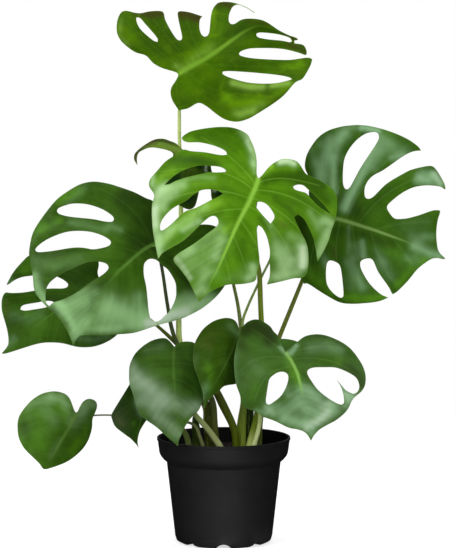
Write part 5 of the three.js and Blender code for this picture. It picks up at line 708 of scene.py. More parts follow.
        ("shade", [(-256.8, 150.4), (-250.5, 132.3)], 7.6, 0.45),
        ("painted_sheen", [(-209.6, 129.7), (-222.5, 109)], 5.1, 0.25),
        ("shade", [(-240.4, 114.2), (-225.1, 101.3)], 8.9, 0.35),
        ("painted_sheen", [(-229.8, 171), (-217.1, 155.5)], 10.1, 0.3),
    ],
    "low_left_back": [
        ("shade", [(-135.2, 176.2), (-127.6, 155.5), (-114.8, 137.5)], 11.4, 0.5),
        ("painted_sheen", [(-109.6, 178.7), (-104.5, 164.6)], 6.3, 0.5),
        ("warm", [(-137.8, 160.7), (-130.1, 150.4)], 6.3, 0.4),
        ("bright", [(-114.8, 150.4), (-112.3, 137.5)], 5.1, 0.4),
    ],
    "low_left": [
        ("painted_sheen", [(-114.6, 207.1), (-96.7, 196.8), (-78.9, 181.3)], 15.9, 0.66),
        ("painted_sheen", [(-107, 180), (-91.7, 176.2), (-77.6, 181.3)], 11.4, 0.45),
        ("painted_highlight", [(-109.5, 209.6), (-94.2, 196.8)], 8.9, 0.25),
        ("painted_sheen", [(-58.4, 174.9), (-45.6, 174.9), (-32.9, 173.6)], 10.1, 0.42),
        ("painted_sheen", [(-84.1, 158.1), (-68.7, 147.8), (-58.5, 137.5)], 10.1, 0.45),
        ("painted_sheen", [(-117.1, 230.2), (-114.6, 217.3)], 6.3, 0.45),
        ("painted_sheen", [(-99.2, 245.6), (-78.7, 250.8)], 7.6, 0.22),
        ("shade", [(-55.8, 243), (-45.6, 222.5), (-48.2, 201.9)], 11.4, 0.6),
        ("bright", [(-104.3, 245.6), (-86.4, 250.8)], 8.9, 0.25),
        ("shade", [(-83.9, 230.2), (-66, 225.1)], 10.1, 0.35),
        ("shade", [(-86.4, 253.3), (-68.5, 255.9)], 8.9, 0.45),
        ("shade", [(-40.4, 255.9), (-35.3, 237.9)], 6.3, 0.4),
        ("painted_sheen", [(-48.2, 163.3), (-35.4, 173.6)], 6.3, 0.35),
    ],
    "low_middle": [
        ("painted_sheen", [(8.1, 276.4), (18.3, 266.1)], 6.3, 0.22),
        ("painted_sheen", [(-27.7, 186.5), (-22.6, 199.3)], 6.3, 0.3),
        ("painted_sheen", [(-35.3, 237.9), (-37.9, 222.5)], 5.1, 0.15),
        ("shade", [(15.7, 248.2), (10.6, 225.1), (2.9, 204.5)], 8.9, 0.5),
        ("bright", [(-20, 225.1), (-16.2, 212.2), (-18.8, 196.8)], 7.6, 0.45),
        ("bright", [(-25.1, 250.8), (-27.7, 227.6)], 11.4, 0.2),
        ("warm", [(-12.4, 271.3), (-22.6, 253.3)], 12.7, 0.3),
        ("shade", [(-35.3, 258.5), (-25.1, 273.8)], 5.1, 0.3),
    ],
    "low_right": [
        ("shade", [(25.9, 271.3), (41.2, 276.4), (56.5, 268.7), (59.1, 258.5)], 10.1, 0.95),
        ("shade", [(18.3, 253.3), (28.5, 245.6)], 7.6, 0.6),
        ("shade", [(15.7, 243), (18.3, 232.8)], 5.1, 0.4),
        ("painted_sheen", [(15.7, 240.5), (13.2, 222.5), (15.7, 204.5)], 5.1, 0.2),
        ("bright", [(82.1, 232.8), (89.8, 217.3), (97.5, 199.3)], 7.6, 0.6),
        ("painted_sheen", [(36.1, 230.2), (48.9, 214.8)], 8.9, 0.15),
        ("painted_sheen", [(71.9, 248.8), (77, 244.3), (80.8, 240.5)], 3.6, 0.6),
        ("painted_sheen", [(92.3, 250.8), (85.9, 241.8)], 3.8, 0.65),
        ("painted_sheen", [(48.9, 245.6), (61.7, 249.5)], 6.3, 0.08),
        ("painted_sheen", [(110.1, 248.2), (130.6, 250.8), (148.4, 245.6)], 7.6, 0.3),
        ("shade", [(117.8, 263.6), (135.6, 262.3), (153.5, 250.8)], 3.8, 0.5),
        ("shade", [(161.3, 225.1), (171.6, 212.2), (175.5, 199.3)], 5.1, 0.6),
        ("painted_sheen", [(95, 191.6), (98.8, 178.7), (105.3, 165.8)], 10.1, 0.3),
        ("painted_sheen", [(110.3, 183.9), (125.7, 176.2), (141.1, 168.4)], 10.1, 0.4),
        ("painted_highlight", [(105.3, 146.5), (120.6, 154.2), (133.4, 165.8)], 6.3, 0.5),
        ("painted_highlight", [(153.8, 191.6), (158.9, 183.9)], 5.1, 0.3),
        ("painted_highlight", [(55.4, 171), (61.8, 164.6)], 5.1, 0.2),
        ("painted_sheen", [(77.1, 156.8), (95.1, 151.7), (113, 150.4), (128.3, 159.4), (137.2, 173.6)], 8.9, 0.62),
        ("painted_sheen", [(102.6, 196.8), (110.3, 192.9), (119.3, 185.2)], 7.6, 0.5),
        ("painted_sheen", [(109.1, 169.7), (119.3, 165.8)], 6.3, 0.5),
        ("painted_highlight", [(124.4, 173.6), (135.9, 178.7)], 5.1, 0.3),
        ("painted_sheen", [(42.6, 167.1), (52.8, 164.6)], 4.4, 0.4),
        ("painted_sheen", [(61.8, 171), (79.7, 168.4), (95, 176.2)], 10.1, 0.45),
        ("painted_sheen", [(55.4, 172.3), (61.8, 164.6)], 5.1, 0.4),
        ("painted_sheen", [(148.6, 201.9), (153.8, 189), (161.5, 183.9)], 6.3, 0.75),
        ("painted_sheen", [(166.6, 189), (156.4, 173.6)], 5.1, 0.5),
        ("painted_sheen", [(107.9, 145.2), (113, 137.5)], 6.3, 0.35),
        ("painted_sheen", [(74.5, 201.9), (82.2, 189)], 6.3, 0.3),
        ("bright", [(41.3, 196.8), (36.2, 183.9)], 8.9, 0.35),
        ("bright", [(125.5, 232.8), (148.5, 230.2)], 7.6, 0.25),
    ],
    "low_right_back": [
        ("bright", [(77, 255.9), (87.2, 257.2)], 5.1, 0.3),
    ],
    "back": [
        ("bright", [(-95.9, 501.9), (-80.7, 505.7), (-65.5, 501.9), (-50.3, 496.8)], 5.7, 0.9),
        ("warm", [(-111.1, 498.1), (-102.2, 505.7), (-88.3, 512)], 3.8, 0.7),
        ("shade", [(-45.2, 493), (-30, 488)], 6.3, 0.6),
        ("warm", [(-111.1, 493), (-109.9, 484.2)], 3.2, 0.5),
        ("warm", [(-88.3, 512), (-78.1, 513.3), (-65.5, 509.5)], 2.5, 0.5),
        ("painted_highlight", [(-22.8, 482.9), (-22.9, 472.7)], 1.8, 0.7),
        ("painted_highlight", [(-12.3, 451.2), (-11.8, 448.6)], 2, 0.8),
        ("shade", [(-32.5, 482.9), (-18.6, 475.3)], 6.3, 0.8),
        ("shade", [(-68.1, 482.9), (-60.5, 457.5), (-42.7, 439.7)], 14, 0.8),
        ("shade", [(-14.8, 455), (-3.4, 444.8)], 11.4, 0.9),
    ],
}


# ---------------------------------------------------------------- small helpers
def srgb(r, g, b):
    def lin(c):
        c /= 255.0
        return c / 12.92 if c <= 0.04045 else ((c + 0.055) / 1.055) ** 2.4
    return (lin(r), lin(g), lin(b), 1.0)


def thin_plate(rows, soft=0.002):
    rows = np.asarray(rows, float)
    p = rows[:, :2] / 100.0
    n = len(p)

    def kernel(a, b):
        d = ((a[:, None, :] - b[None, :, :]) ** 2).sum(-1)
        return np.where(d < 1e-12, 0.0, 0.5 * d * np.log(np.maximum(d, 1e-12)))

    a = np.zeros((n + 3, n + 3))
    a[:n, :n] = kernel(p, p) + np.eye(n) * soft
    a[:n, n] = a[n, :n] = 1
    a[:n, n + 1:] = p
    a[n + 1:, :n] = p.T
    w = np.linalg.solve(a, np.concatenate([rows[:, 2], [0, 0, 0]]))

    def f(q):
        q = np.asarray(q, float).reshape(-1, 2) / 100.0
        return w[n] + q @ w[n + 1:n + 3] + kernel(q, p) @ w[:n]
    return f


def to_line(line, q):
    """Distance to a polyline, fraction along it, and the signed side (+1 left of its direction)."""
    line, q = np.asarray(line, float), np.asarray(q, float)
    best = np.full(len(q), 1e9)
    along = np.zeros(len(q))
    side = np.ones(len(q))
    seg = np.hypot(*(line[1:] - line[:-1]).T)
    start = np.concatenate([[0], np.cumsum(seg)])
    last = len(line) - 2
    for i in range(len(line) - 1):
        a, u = line[i], line[i + 1] - line[i]
        raw = ((q - a) @ u) / max(u @ u, 1e-9)
        t = np.clip(raw, 0, 1)
        d = np.hypot(*(q - a - t[:, None] * u).T)
        m = d < best
        best[m] = d[m]
        along[m] = ((start[i] + t * seg[i]) / start[-1])[m]
        side[m] = np.where(u[0] * (q - a)[:, 1] - u[1] * (q - a)[:, 0] >= 0, 1, -1)[m]
    return best, along, side


def smooth_ring(ring, step, corner=math.radians(64), closed=True):
    """Centripetal Catmull-Rom through the points; sharp corners stay sharp. Returns evenly spaced points."""
    p = np.asarray(ring, float)
    keep = [0]
    for i in range(1, len(p)):
        if np.hypot(*(p[i] - p[keep[-1]])) > 0.35:
            keep.append(i)
    p = p[keep]
    if closed and np.hypot(*(p[0] - p[-1])) < 0.35:
        p = p[:-1]
    n = len(p)
    if closed:
        a = p - np.roll(p, 1, 0)
        b = np.roll(p, -1, 0) - p
        turn = np.abs((np.arctan2(b[:, 1], b[:, 0]) - np.arctan2(a[:, 1], a[:, 0]) + math.pi) % (2 * math.pi) - math.pi)
        sharp = turn > corner
    else:
        sharp = np.zeros(n, bool)
        sharp[0] = sharp[-1] = True

    def curve(q0, q1, q2, q3, m):
        t = [0.0]
        for u, v in ((q0, q1), (q1, q2), (q2, q3)):
            t.append(t[-1] + max(np.hypot(*(v - u)), 1e-4) ** 0.5)
        s = np.linspace(t[1], t[2], m, endpoint=False)[:, None]
        a1 = (t[1] - s) / (t[1] - t[0]) * q0 + (s - t[0]) / (t[1] - t[0]) * q1
        a2 = (t[2] - s) / (t[2] - t[1]) * q1 + (s - t[1]) / (t[2] - t[1]) * q2
        a3 = (t[3] - s) / (t[3] - t[2]) * q2 + (s - t[2]) / (t[3] - t[2]) * q3
        b1 = (t[2] - s) / (t[2] - t[0]) * a1 + (s - t[0]) / (t[2] - t[0]) * a2
        b2 = (t[3] - s) / (t[3] - t[1]) * a2 + (s - t[1]) / (t[3] - t[1]) * a3
        return (t[2] - s) / (t[2] - t[1]) * b1 + (s - t[1]) / (t[2] - t[1]) * b2

    out, is_sharp = [], []
    spans = n if closed else n - 1
    for i in range(spans):
        q1, q2 = p[i], p[(i + 1) % n]
        q0 = 2 * q1 - q2 if sharp[i] else p[i - 1]
        q3 = 2 * q2 - q1 if sharp[(i + 1) % n] else p[(i + 2) % n]
        c = curve(q0, q1, q2, q3, 10)
        out.append(c)
        is_sharp += [bool(sharp[i])] + [False] * 9
    out = np.vstack(out + ([] if closed else [p[-1:]]))
    if not closed:
        is_sharp.append(True)
    # even spacing between the corners
    is_sharp = np.array(is_sharp)
    marks = list(np.flatnonzero(is_sharp)) or [0]
    if closed:
        out = np.roll(out, -marks[0], 0)
        is_sharp = np.roll(is_sharp, -marks[0])
        marks = [m - marks[0] for m in marks] + [len(out)]
        out = np.vstack([out, out[:1]])
    pts, fixed = [], []
    for a, b in zip(marks[:-1], marks[1:]):
        arc = out[a:b + 1]
        length = np.concatenate([[0], np.cumsum(np.hypot(*(arc[1:] - arc[:-1]).T))])
        m = max(2, int(round(length[-1] / step)))
        s = np.linspace(0, length[-1], m, endpoint=False)
        pts.append(np.stack([np.interp(s, length, arc[:, 0]), np.interp(s, length, arc[:, 1])], 1))
        fixed += [bool(is_sharp[a]) if a < len(is_sharp) else True] + [False] * (m - 1)
    pts = np.vstack(pts)
    fixed = np.array(fixed)
    if closed:
        for _ in range(2):
            avg = (np.roll(pts, 1, 0) + np.roll(pts, -1, 0)) / 2
            pts = np.where(fixed[:, None], pts, pts * 0.5 + avg * 0.5)
    else:
        pts = np.vstack([pts, out[-1:]])
    return pts


def area2(r):
    q = np.roll(r, -1, 0)
    return float((r[:, 0] * q[:, 1] - q[:, 0] * r[:, 1]).sum())


def inside(rings, q):
    c = np.zeros(len(q), bool)
    for r in rings:
        a, b = r, np.roll(r, 1, 0)
        for (ax, az), (bx, bz) in zip(a, b):
            if az == bz:
                continue
            m = (az > q[:, 1]) != (bz > q[:, 1])
            c ^= m & (q[:, 0] < (bx - ax) * (q[:, 1] - az) / (bz - az) + ax)
    return c


def bezier(v, m):
    a, b, c = np.array(v[:2]), np.array(v[2:4]), np.array(v[4:])
    t = np.linspace(0, 1, m)[:, None]
    return (1 - t) ** 2 * a + 2 * t * (1 - t) * b + t * t * c


def rows_beside(line, offsets, step):
    """Points on a line and on lines beside it."""
    d = np.gradient(line, axis=0)
    d /= np.maximum(np.hypot(*d.T), 1e-9)[:, None]
    nrm = np.stack([-d[:, 1], d[:, 0]], 1)
    return [line + nrm * o for o in offsets]


def wave(q, seed, size):
    """Slow waves, -1 to 1."""
    rng = random.Random(seed)
    out = np.zeros(len(q))
    for k in range(5):
        a = rng.uniform(0, math.tau)
        f = math.tau / (size * rng.uniform(0.7, 1.6))
        out += np.sin(q[:, 0] * math.cos(a) * f + q[:, 1] * math.sin(a) * f + rng.uniform(0, 6.28)) / 5 * 1.6
    return np.clip(out, -1, 1)


def mesh_object(name, verts, faces, attributes=None, smooth=True, sharp=None):
    me = bpy.data.meshes.new(name)
    me.from_pydata([tuple(v) for v in np.asarray(verts) * MM], [], [tuple(int(i) for i in f) for f in faces])
    me.polygons.foreach_set("use_smooth", [smooth] * len(me.polygons))
    for key, values in (attributes or {}).items():
        values = np.asarray(values, np.float32)
        kind = "FLOAT" if values.ndim == 1 else "FLOAT_VECTOR"
        at = me.attributes.new(key, kind, "POINT")
        at.data.foreach_set("value" if kind == "FLOAT" else "vector", values.ravel())
    if sharp is not None:
        at = me.attributes.new("sharp_edge", "BOOLEAN", "EDGE")
        ev = np.zeros(len(me.edges) * 2, int)
        me.edges.foreach_get("vertices", ev)
        ev = ev.reshape(-1, 2)
        at.data.foreach_set("value", [bool(x) for x in sharp(ev)])
    me.update()
    ob = bpy.data.objects.new(name, me)
    bpy.context.scene.collection.objects.link(ob)
    return ob


# ---------------------------------------------------------------- leaf blades
SURFACE = {}


def blade_surface(leaf, seed, big, pleat):
    depth = thin_plate(leaf["depth"])
    rings = [smooth_ring(leaf["outline"], RIM_STEP)] + [smooth_ring(h, RIM_STEP) for h in leaf["holes"]]
    midrib = smooth_ring(leaf["midrib"], 2.4, closed=False)
    # vein number as a smooth field on each side of the midrib
    sides = {1: [], -1: []}
    veins = []
    for v in leaf["veins"]:
        b = bezier(v, 9)
        _, t, _ = to_line(midrib, b[:1])
        _, _, s = to_line(midrib, b[5:6])
        d = b[5] - b[0]
        ax = midrib[-1] - midrib[0]
        angle = math.acos(max(-1, min(1, float(d @ ax) / (np.hypot(*d) * np.hypot(*ax)))))
        sides[int(s[0])].append((float(t[0]) - 0.01 * angle, v))
    field = {}
    for s, vs in sides.items():
        vs.sort(key=lambda e: e[0])
        data = []
        for i, (_, v) in enumerate(vs):
            for b in bezier(v, 7)[1:]:
                data.append((b[0], b[1], float(i)))
            veins.append(v)
        field[s] = thin_plate(data, 0.01) if len(data) >= 4 else (lambda q: np.zeros(len(q)))

    def phi(q):
        _, _, s = to_line(midrib, q)
        return np.where(s > 0, field[1](q), field[-1](q))

    def steady(q):
        """1 where the vein number changes slowly, 0 where the field is steep."""
        gx = (phi(q + [1.0, 0]) - phi(q - [1.0, 0])) / 2
        gz = (phi(q + [0, 1.0]) - phi(q - [0, 1.0])) / 2
        return np.clip(1.8 - np.hypot(gx, gz) / 0.075, 0, 1)

    def relief(q):
        dm, t, s = to_line(midrib, q)
        p = phi(q)
        edge = np.min([to_line(np.vstack([r, r[:1]]), q)[0] for r in rings], axis=0)
        calm = 1 - np.exp(-dm / 9)
        rim = 1 - np.exp(-edge / 4)
        y = -pleat * (np.abs(np.sin(math.pi * p)) ** 0.8) * calm * (0.35 + 0.65 * rim) * steady(q)
        y += 1.5 * big * np.exp(-edge / 5.0)                     # margins turn back a little
        y += (0.8 + 1.2 * big) * wave(q, seed, 80)
        y += 0.45 * big * wave(q, seed + 50, 22) * calm
        y -= (0.75 - 0.35 * t) * np.exp(-(dm / 1.7) ** 2)        # midrib stands up in its valley
        return y

    def y_of(q):
        q = np.asarray(q, float).reshape(-1, 2)
        dm, _, _ = to_line(np.asarray(leaf["midrib"]), q)
        return depth(q) + leaf["fold"] * np.exp(-dm / 12) + relief(q)

    def world(q, y=None):
        q = np.asarray(q, float).reshape(-1, 2)
        y = y_of(q) if y is None else y
        flat = np.stack([q[:, 0], np.zeros(len(q)), q[:, 1]], 1)
        return EYE + (flat - EYE) * ((y + 3000.0) / 3000.0)[:, None]

    return dict(rings=rings, midrib=midrib, veins=veins, phi=phi, steady=steady, y=y_of, world=world)


def blade(name, leaf, seed, big, pleat, strokes=()):
    s = blade_surface(leaf, seed, big, pleat)
    SURFACE[name] = s
    rings = [r if area2(r) > 0 else r[::-1] for r in s["rings"][:1]] + [r if area2(r) < 0 else r[::-1] for r in s["rings"][1:]]
    closed = [np.vstack([r, r[:1]]) for r in rings]

    def clear(q, d):
        return np.min([to_line(c, q)[0] for c in closed], axis=0) > d

    lo, hi = rings[0].min(0), rings[0].max(0)
    # rows along the midrib and the veins
    mid = s["midrib"]
    lines = []
    for o in (0.0, 1.1, -1.1, 2.6, -2.6):
        lines.append(rows_beside(mid, [o], 0)[0])
    for v in s["veins"]:
        b = bezier(v, 60)
        length = np.concatenate([[0], np.cumsum(np.hypot(*(b[1:] - b[:-1]).T))])
        u = np.arange(3.2, length[-1], 2.6)
        b = np.stack([np.interp(u, length, b[:, 0]), np.interp(u, length, b[:, 1])], 1)
        if len(b) > 3:
            lines += rows_beside(b, [0.0, 1.4, -1.4], 0)
    pts = np.zeros((0, 2))
    for ln in lines:
        m = inside(rings, ln) & clear(ln, 1.0)
        ln = ln[m]
        if len(pts) and len(ln):
            d = np.sqrt(((ln[:, None, :] - pts[None, :, :]) ** 2).sum(-1)).min(1)
            ln = ln[d > 0.8]
        pts = np.vstack([pts, ln])
    xs = np.arange(lo[0], hi[0], CELL)
    zs = np.arange(lo[1], hi[1], CELL * 0.866)
    grid = np.array([(x + (CELL / 2 if j % 2 else 0), z) for j, z in enumerate(zs) for x in xs])
    m = inside(rings, grid)
    grid = grid[m]
    grid = grid[clear(grid, CELL * 0.55)]
    if len(pts):
        d = np.concatenate([np.sqrt(((g[:, None, :] - pts[None, :, :]) ** 2).sum(-1)).min(1)
                            for g in np.array_split(grid, max(1, len(grid) // 400))])
        grid = grid[d > CELL * 0.62]
    rim_n = [len(r) for r in rings]
    flat = np.vstack(rings + [pts, grid])
    edges, k = [], 0
    for n in rim_n:
        edges += [(k + i, k + (i + 1) % n) for i in range(n)]
        k += n
    out_v, _, out_f, orig, _, _ = delaunay_2d_cdt([Vector(p) for p in flat], edges, [], 0, 1e-5, True)
    order = [o[0] if o else -1 for o in orig]
    tris = []
    cen = []
    for f in out_f:
        t = [order[i] for i in f]
        if min(t) < 0 or len(set(t)) < 3:
            continue
        tris.append(t)
        cen.append(flat[t].mean(0))
    tris = np.array(tris)
    tris = tris[inside(rings, np.array(cen))]
    a, b, c = flat[tris[:, 0]], flat[tris[:, 1]], flat[tris[:, 2]]
    ccw = (b[:, 0] - a[:, 0]) * (c[:, 1] - a[:, 1]) - (b[:, 1] - a[:, 1]) * (c[:, 0] - a[:, 0]) > 0
    tris[~ccw] = tris[~ccw][:, [0, 2, 1]]
    co = s["world"](flat)
    nrm = np.zeros_like(co)
    fn = np.cross(co[tris[:, 1]] - co[tris[:, 0]], co[tris[:, 2]] - co[tris[:, 0]])
    for j in range(3):
        np.add.at(nrm, tris[:, j], fn)
    nrm /= np.maximum(np.linalg.norm(nrm, axis=1), 1e-9)[:, None]      # towards the front
    dm, t, _ = to_line(mid, flat)
    dv = np.full(len(flat), 50.0)
    for v in s["veins"]:
        b = bezier(v, 24)
        d, u, _ = to_line(b, flat)
        dv = np.minimum(dv, d + 2.2 * np.clip(u - 0.55, 0, 1) ** 2)
    edge = np.min([to_line(cl, flat)[0] for cl in closed], axis=0)
    calm = 1 - np.exp(-edge / 5)
    ribs = (1.5 - 1.0 * t) * np.exp(-(dm / 1.9) ** 2) * (0.5 + 0.5 * big) + 0.5 * big * np.exp(-(dv / 1.2) ** 2)
    front = co + nrm * (BLADE_T / 2)
    back = co - nrm * (BLADE_T / 2 + ribs * calm)[:, None]
    n = len(flat)
    faces = [tuple(f) for f in tris] + [(n + f[0], n + f[2], n + f[1]) for f in tris]
    k = 0
    for m in rim_n:
        for i in range(m):
            p, q = k + i, k + (i + 1) % m
            faces.append((p, n + p, n + q, q))
        k += m
    # stroke masks: painted sheen, painted shade, painted light, painted highlights and brownish parts
    tint = {k: np.zeros(n) for k in ("painted_sheen", "shade", "bright", "warm", "painted_highlight")}
    for kind, line, width, strength in strokes:
        d, _, _ = to_line(line, flat)
        tint[kind] = 1 - (1 - tint[kind]) * (1 - np.clip(strength * np.exp(-(d / width) ** 2), 0, 1))
    p = s["phi"](flat)

    def both(x):
        return np.concatenate([x, x])

    rim_front = set(range(sum(rim_n)))
    rim_total = sum(rim_n)

    def sharp(ev):
        a, b = ev[:, 0], ev[:, 1]
        fr = (a < rim_total) & (b < rim_total)
        bk = (a >= n) & (a < n + rim_total) & (b >= n) & (b < n + rim_total)
        nxt = np.zeros(len(ev), bool)
        k = 0
        for m in rim_n:
            for base in (0, n):
                aa, bb = a - base - k, b - base - k
                ok = (aa >= 0) & (aa < m) & (bb >= 0) & (bb < m)
                nxt |= ok & ((np.abs(aa - bb) == 1) | (np.abs(aa - bb) == m - 1))
            k += m
        return (fr | bk) & nxt

    return mesh_object("blade_" + name, np.vstack([front, back]), faces, dict(
        rib=both(dm), vein=both(dv), phi=both(p), along=both(t), edge=both(edge),
        under=np.concatenate([np.zeros(n), np.ones(n)]), grain=both(s["steady"](flat)),
        **{k: both(v) for k, v in tint.items()}), sharp=sharp)


# ---------------------------------------------------------------- petioles
def curve3(points, radii, step):
    p = np.asarray(points, float)
    p = np.vstack([2 * p[0] - p[1], p, 2 * p[-1] - p[-2]])
    out, rad = [], []
    for i in range(1, len(p) - 2):
        q0, q1, q2, q3 = p[i - 1], p[i], p[i + 1], p[i + 2]
        t = [0.0]
        for u, v in ((q0, q1), (q1, q2), (q2, q3)):
            t.append(t[-1] + max(np.linalg.norm(v - u), 1e-4) ** 0.5)
        m = max(3, int(round(np.linalg.norm(q2 - q1) / step)))
        s = np.linspace(t[1], t[2], m, endpoint=False)[:, None]
        a1 = (t[1] - s) / (t[1] - t[0]) * q0 + (s - t[0]) / (t[1] - t[0]) * q1
        a2 = (t[2] - s) / (t[2] - t[1]) * q1 + (s - t[1]) / (t[2] - t[1]) * q2
        a3 = (t[3] - s) / (t[3] - t[2]) * q2 + (s - t[2]) / (t[3] - t[2]) * q3
        b1 = (t[2] - s) / (t[2] - t[0]) * a1 + (s - t[0]) / (t[2] - t[0]) * a2
        b2 = (t[3] - s) / (t[3] - t[1]) * a2 + (s - t[1]) / (t[3] - t[1]) * a3
        out.append((t[2] - s) / (t[2] - t[1]) * b1 + (s - t[1]) / (t[2] - t[1]) * b2)
        rad.append(radii[i - 1] + (radii[i] - radii[i - 1]) * np.linspace(0, 1, m, endpoint=False))
    out.append(p[-2:-1])
    rad.append(np.array([radii[-1]]))
    out, rad = np.vstack(out), np.concatenate(rad)
    for _ in range(3):
        rad[1:-1] = rad[1:-1] * 0.5 + (rad[:-2] + rad[2:]) * 0.25
    return out, rad


def stalk(name, rows, big, sides=20, knee=16.0, groove_at=-1.2, sheath=0.0):
    pts = [np.array(r[:3], float) for r in rows]
    rad = [r[3] for r in rows]
    if name in SURFACE:
        s = SURFACE[name]
        mid = s["midrib"]
        length = np.concatenate([[0], np.cumsum(np.hypot(*(mid[1:] - mid[:-1]).T))])
        at = 7.0 + 4.0 * big
        q = np.array([[np.interp(at, length, mid[:, 0]), np.interp(at, length, mid[:, 1])]])
        du = s["world"](q + [1, 0]) - s["world"](q - [1, 0])
        dv = s["world"](q + [0, 1]) - s["world"](q - [0, 1])
        n = np.cross(du, dv)[0]
        n /= np.linalg.norm(n)
        r0 = rad[0] * 0.62
        pts.insert(0, s["world"](q)[0] - n * (BLADE_T / 2 + r0 * 0.8 + 0.25))
        rad.insert(0, r0)
    c, r = curve3(pts, rad, 2.4)
    t = np.gradient(c, axis=0)
    t /= np.linalg.norm(t, axis=1)[:, None]
    run = np.concatenate([[0], np.cumsum(np.linalg.norm(c[1:] - c[:-1], axis=1))])
    togo = run[-1] - run
    r = r * (1 + 0.10 * np.exp(-((run - knee) / 7.0) ** 2))
    u = np.array([1.0, 0, 0])
    ang = np.arange(sides) * math.tau / sides
    verts, at_run, at_togo, at_turn, coat = [], [], [], [], []
    for i in range(len(c)):
        u = u - t[i] * (u @ t[i])
        u /= np.linalg.norm(u)
        v = np.cross(t[i], u)
        low = math.exp(-togo[i] / 45.0)
        shape = 1 - (0.10 + 0.10 * low) * np.exp(-((((ang - groove_at) + math.pi) % math.tau - math.pi) / 0.45) ** 2)
        shape = shape * (1 + 0.012 * np.cos(ang * 6 + run[i] * 0.01))
        k = 1.0
        if i < 2:
            k = (0.55, 0.85)[i]
        ring = c[i] + np.outer(np.cos(ang) * shape * r[i] * k, u) + np.outer(np.sin(ang) * shape * r[i] * k, v)
        verts.append(ring)
        at_run += [run[i]] * sides
        at_togo += [togo[i]] * sides
        at_turn += list(np.cos(ang - groove_at))
        coat += [(math.cos(a) * r[i], math.sin(a) * r[i], run[i]) for a in ang]
    m = len(c)
    verts = np.vstack(verts + [c[:1] - t[:1] * r[0] * 0.25, c[-1:]])
    at_run += [0, run[-1]]
    at_togo += [run[-1], 0]
    at_turn += [0, 0]
    coat += [(0, 0, 0), (0, 0, run[-1])]
    faces = []
    for i in range(m - 1):
        for k in range(sides):
            a, b = i * sides + k, i * sides + (k + 1) % sides
            faces.append((a, b, b + sides, a + sides))
    top, end = m * sides, m * sides + 1
    for k in range(sides):
        faces.append((top, (k + 1) % sides, k))
        faces.append((end, (m - 1) * sides + k, (m - 1) * sides + (k + 1) % sides))
    return mesh_object("stalk_" + name, verts, faces, dict(
        run=at_run, togo=at_togo, turn=at_turn, coat=np.array(coat)))


# ---------------------------------------------------------------- pot and soil
def filleted(profile, radius=0.7, steps=4):
    p = [np.array(q, float) for q in profile]
    out = [p[0]]
    for i in range(1, len(p) - 1):
        a, b, c = p[i - 1], p[i], p[i + 1]
        u, v = a - b, c - b
        lu, lv = np.hypot(*u), np.hypot(*v)
        u, v = u / lu, v / lv
        k = math.acos(max(-1, min(1, float(u @ v))))
        if k > math.radians(172):
            out.append(b)
            continue
        cut = min(radius / math.tan(k / 2), lu * 0.4, lv * 0.4)
        s, e = b + u * cut, b + v * cut
        for j in range(steps + 1):
            w = j / steps
            out.append((1 - w) ** 2 * s + 2 * w * (1 - w) * b + w * w * e)
    out.append(p[-1])
    return out


def split_long(profile, most):
    out = [profile[0]]
    for q in profile[1:]:
        n = max(1, int(math.ceil(np.hypot(*(q - out[-1])) / most)))
        a = out[-1]
        out += [a + (q - a) * j / n for j in range(1, n + 1)]
    return out


def lathe(profile, segs):
    verts, faces, rings = [], [], []
    for r, z in profile:
        if r < 1e-6:
            rings.append([len(verts)])
            verts.append((0, 0, z))
        else:
            rings.append(list(range(len(verts), len(verts) + segs)))
            for k in range(segs):
                a = math.tau * k / segs
                verts.append((r * math.cos(a), r * math.sin(a), z))
    for a, b in zip(rings[:-1], rings[1:]):
        for k in range(segs):
            j = (k + 1) % segs
            if len(a) == 1:
                faces.append((a[0], b[j], b[k]))
            elif len(b) == 1:
                faces.append((a[k], a[j], b[0]))
            else:
                faces.append((a[k], a[j], b[j], b[k]))
    return verts, faces


def rod(name, p, q, r, segs=40):
    p, q = np.array(p, float), np.array(q, float)
    t = (q - p) / np.linalg.norm(q - p)
    u = np.cross(t, [0.3, 0.2, 0.9])
    u /= np.linalg.norm(u)
    v = np.cross(t, u)
    ang = np.arange(segs) * math.tau / segs
    ring = np.outer(np.cos(ang), u) * r + np.outer(np.sin(ang), v) * r
    verts = np.vstack([p + ring, q + ring])
    faces = [(k, (k + 1) % segs, segs + (k + 1) % segs, segs + k) for k in range(segs)]
    faces += [tuple(range(segs))[::-1], tuple(range(segs, 2 * segs))]
    return mesh_object(name, verts, faces)


POT = [(0, 0), (13, 0), (14.5, 5), (46, 5), (47.5, 0), (56.5, 0), (60.8, 2.2), (62.5, 8), (72.5, 98), (73, 102.8),
       (77.4, 106.6), (80.8, 110.8), (82.4, 114.5), (84.5, 130), (85.4, 131.2), (85.4, 134.2), (82.6, 134.2), (79.6, 114.2),
       (74.8, 108.8), (70.9, 105.4), (70.3, 98), (60.7, 13), (57.2, 7.5), (0, 7.5)]


def cut(ob, tools):
    for tool in tools:
        mod = ob.modifiers.new("cut", "BOOLEAN")
        mod.operation = "DIFFERENCE"
        mod.solver = "EXACT"
        mod.object = tool
    dg = bpy.context.evaluated_depsgraph_get()
    me = bpy.data.meshes.new_from_object(ob.evaluated_get(dg))
    ob.modifiers.clear()
    ob.data = me
    for tool in tools:
        bpy.data.objects.remove(tool)
    return ob


def crease(ob, degrees):
    """Sharp edges where two faces meet at more than the angle; smooth elsewhere."""
    bm = bmesh.new()
    bm.from_mesh(ob.data)
    bmesh.ops.remove_doubles(bm, verts=bm.verts, dist=1e-6)
    bmesh.ops.dissolve_degenerate(bm, dist=1e-6, edges=bm.edges)
    for e in bm.edges:
        e.smooth = len(e.link_faces) == 2 and e.calc_face_angle(0) < math.radians(degrees)
    for f in bm.faces:
        f.smooth = True
    bm.to_mesh(ob.data)
    bm.free()


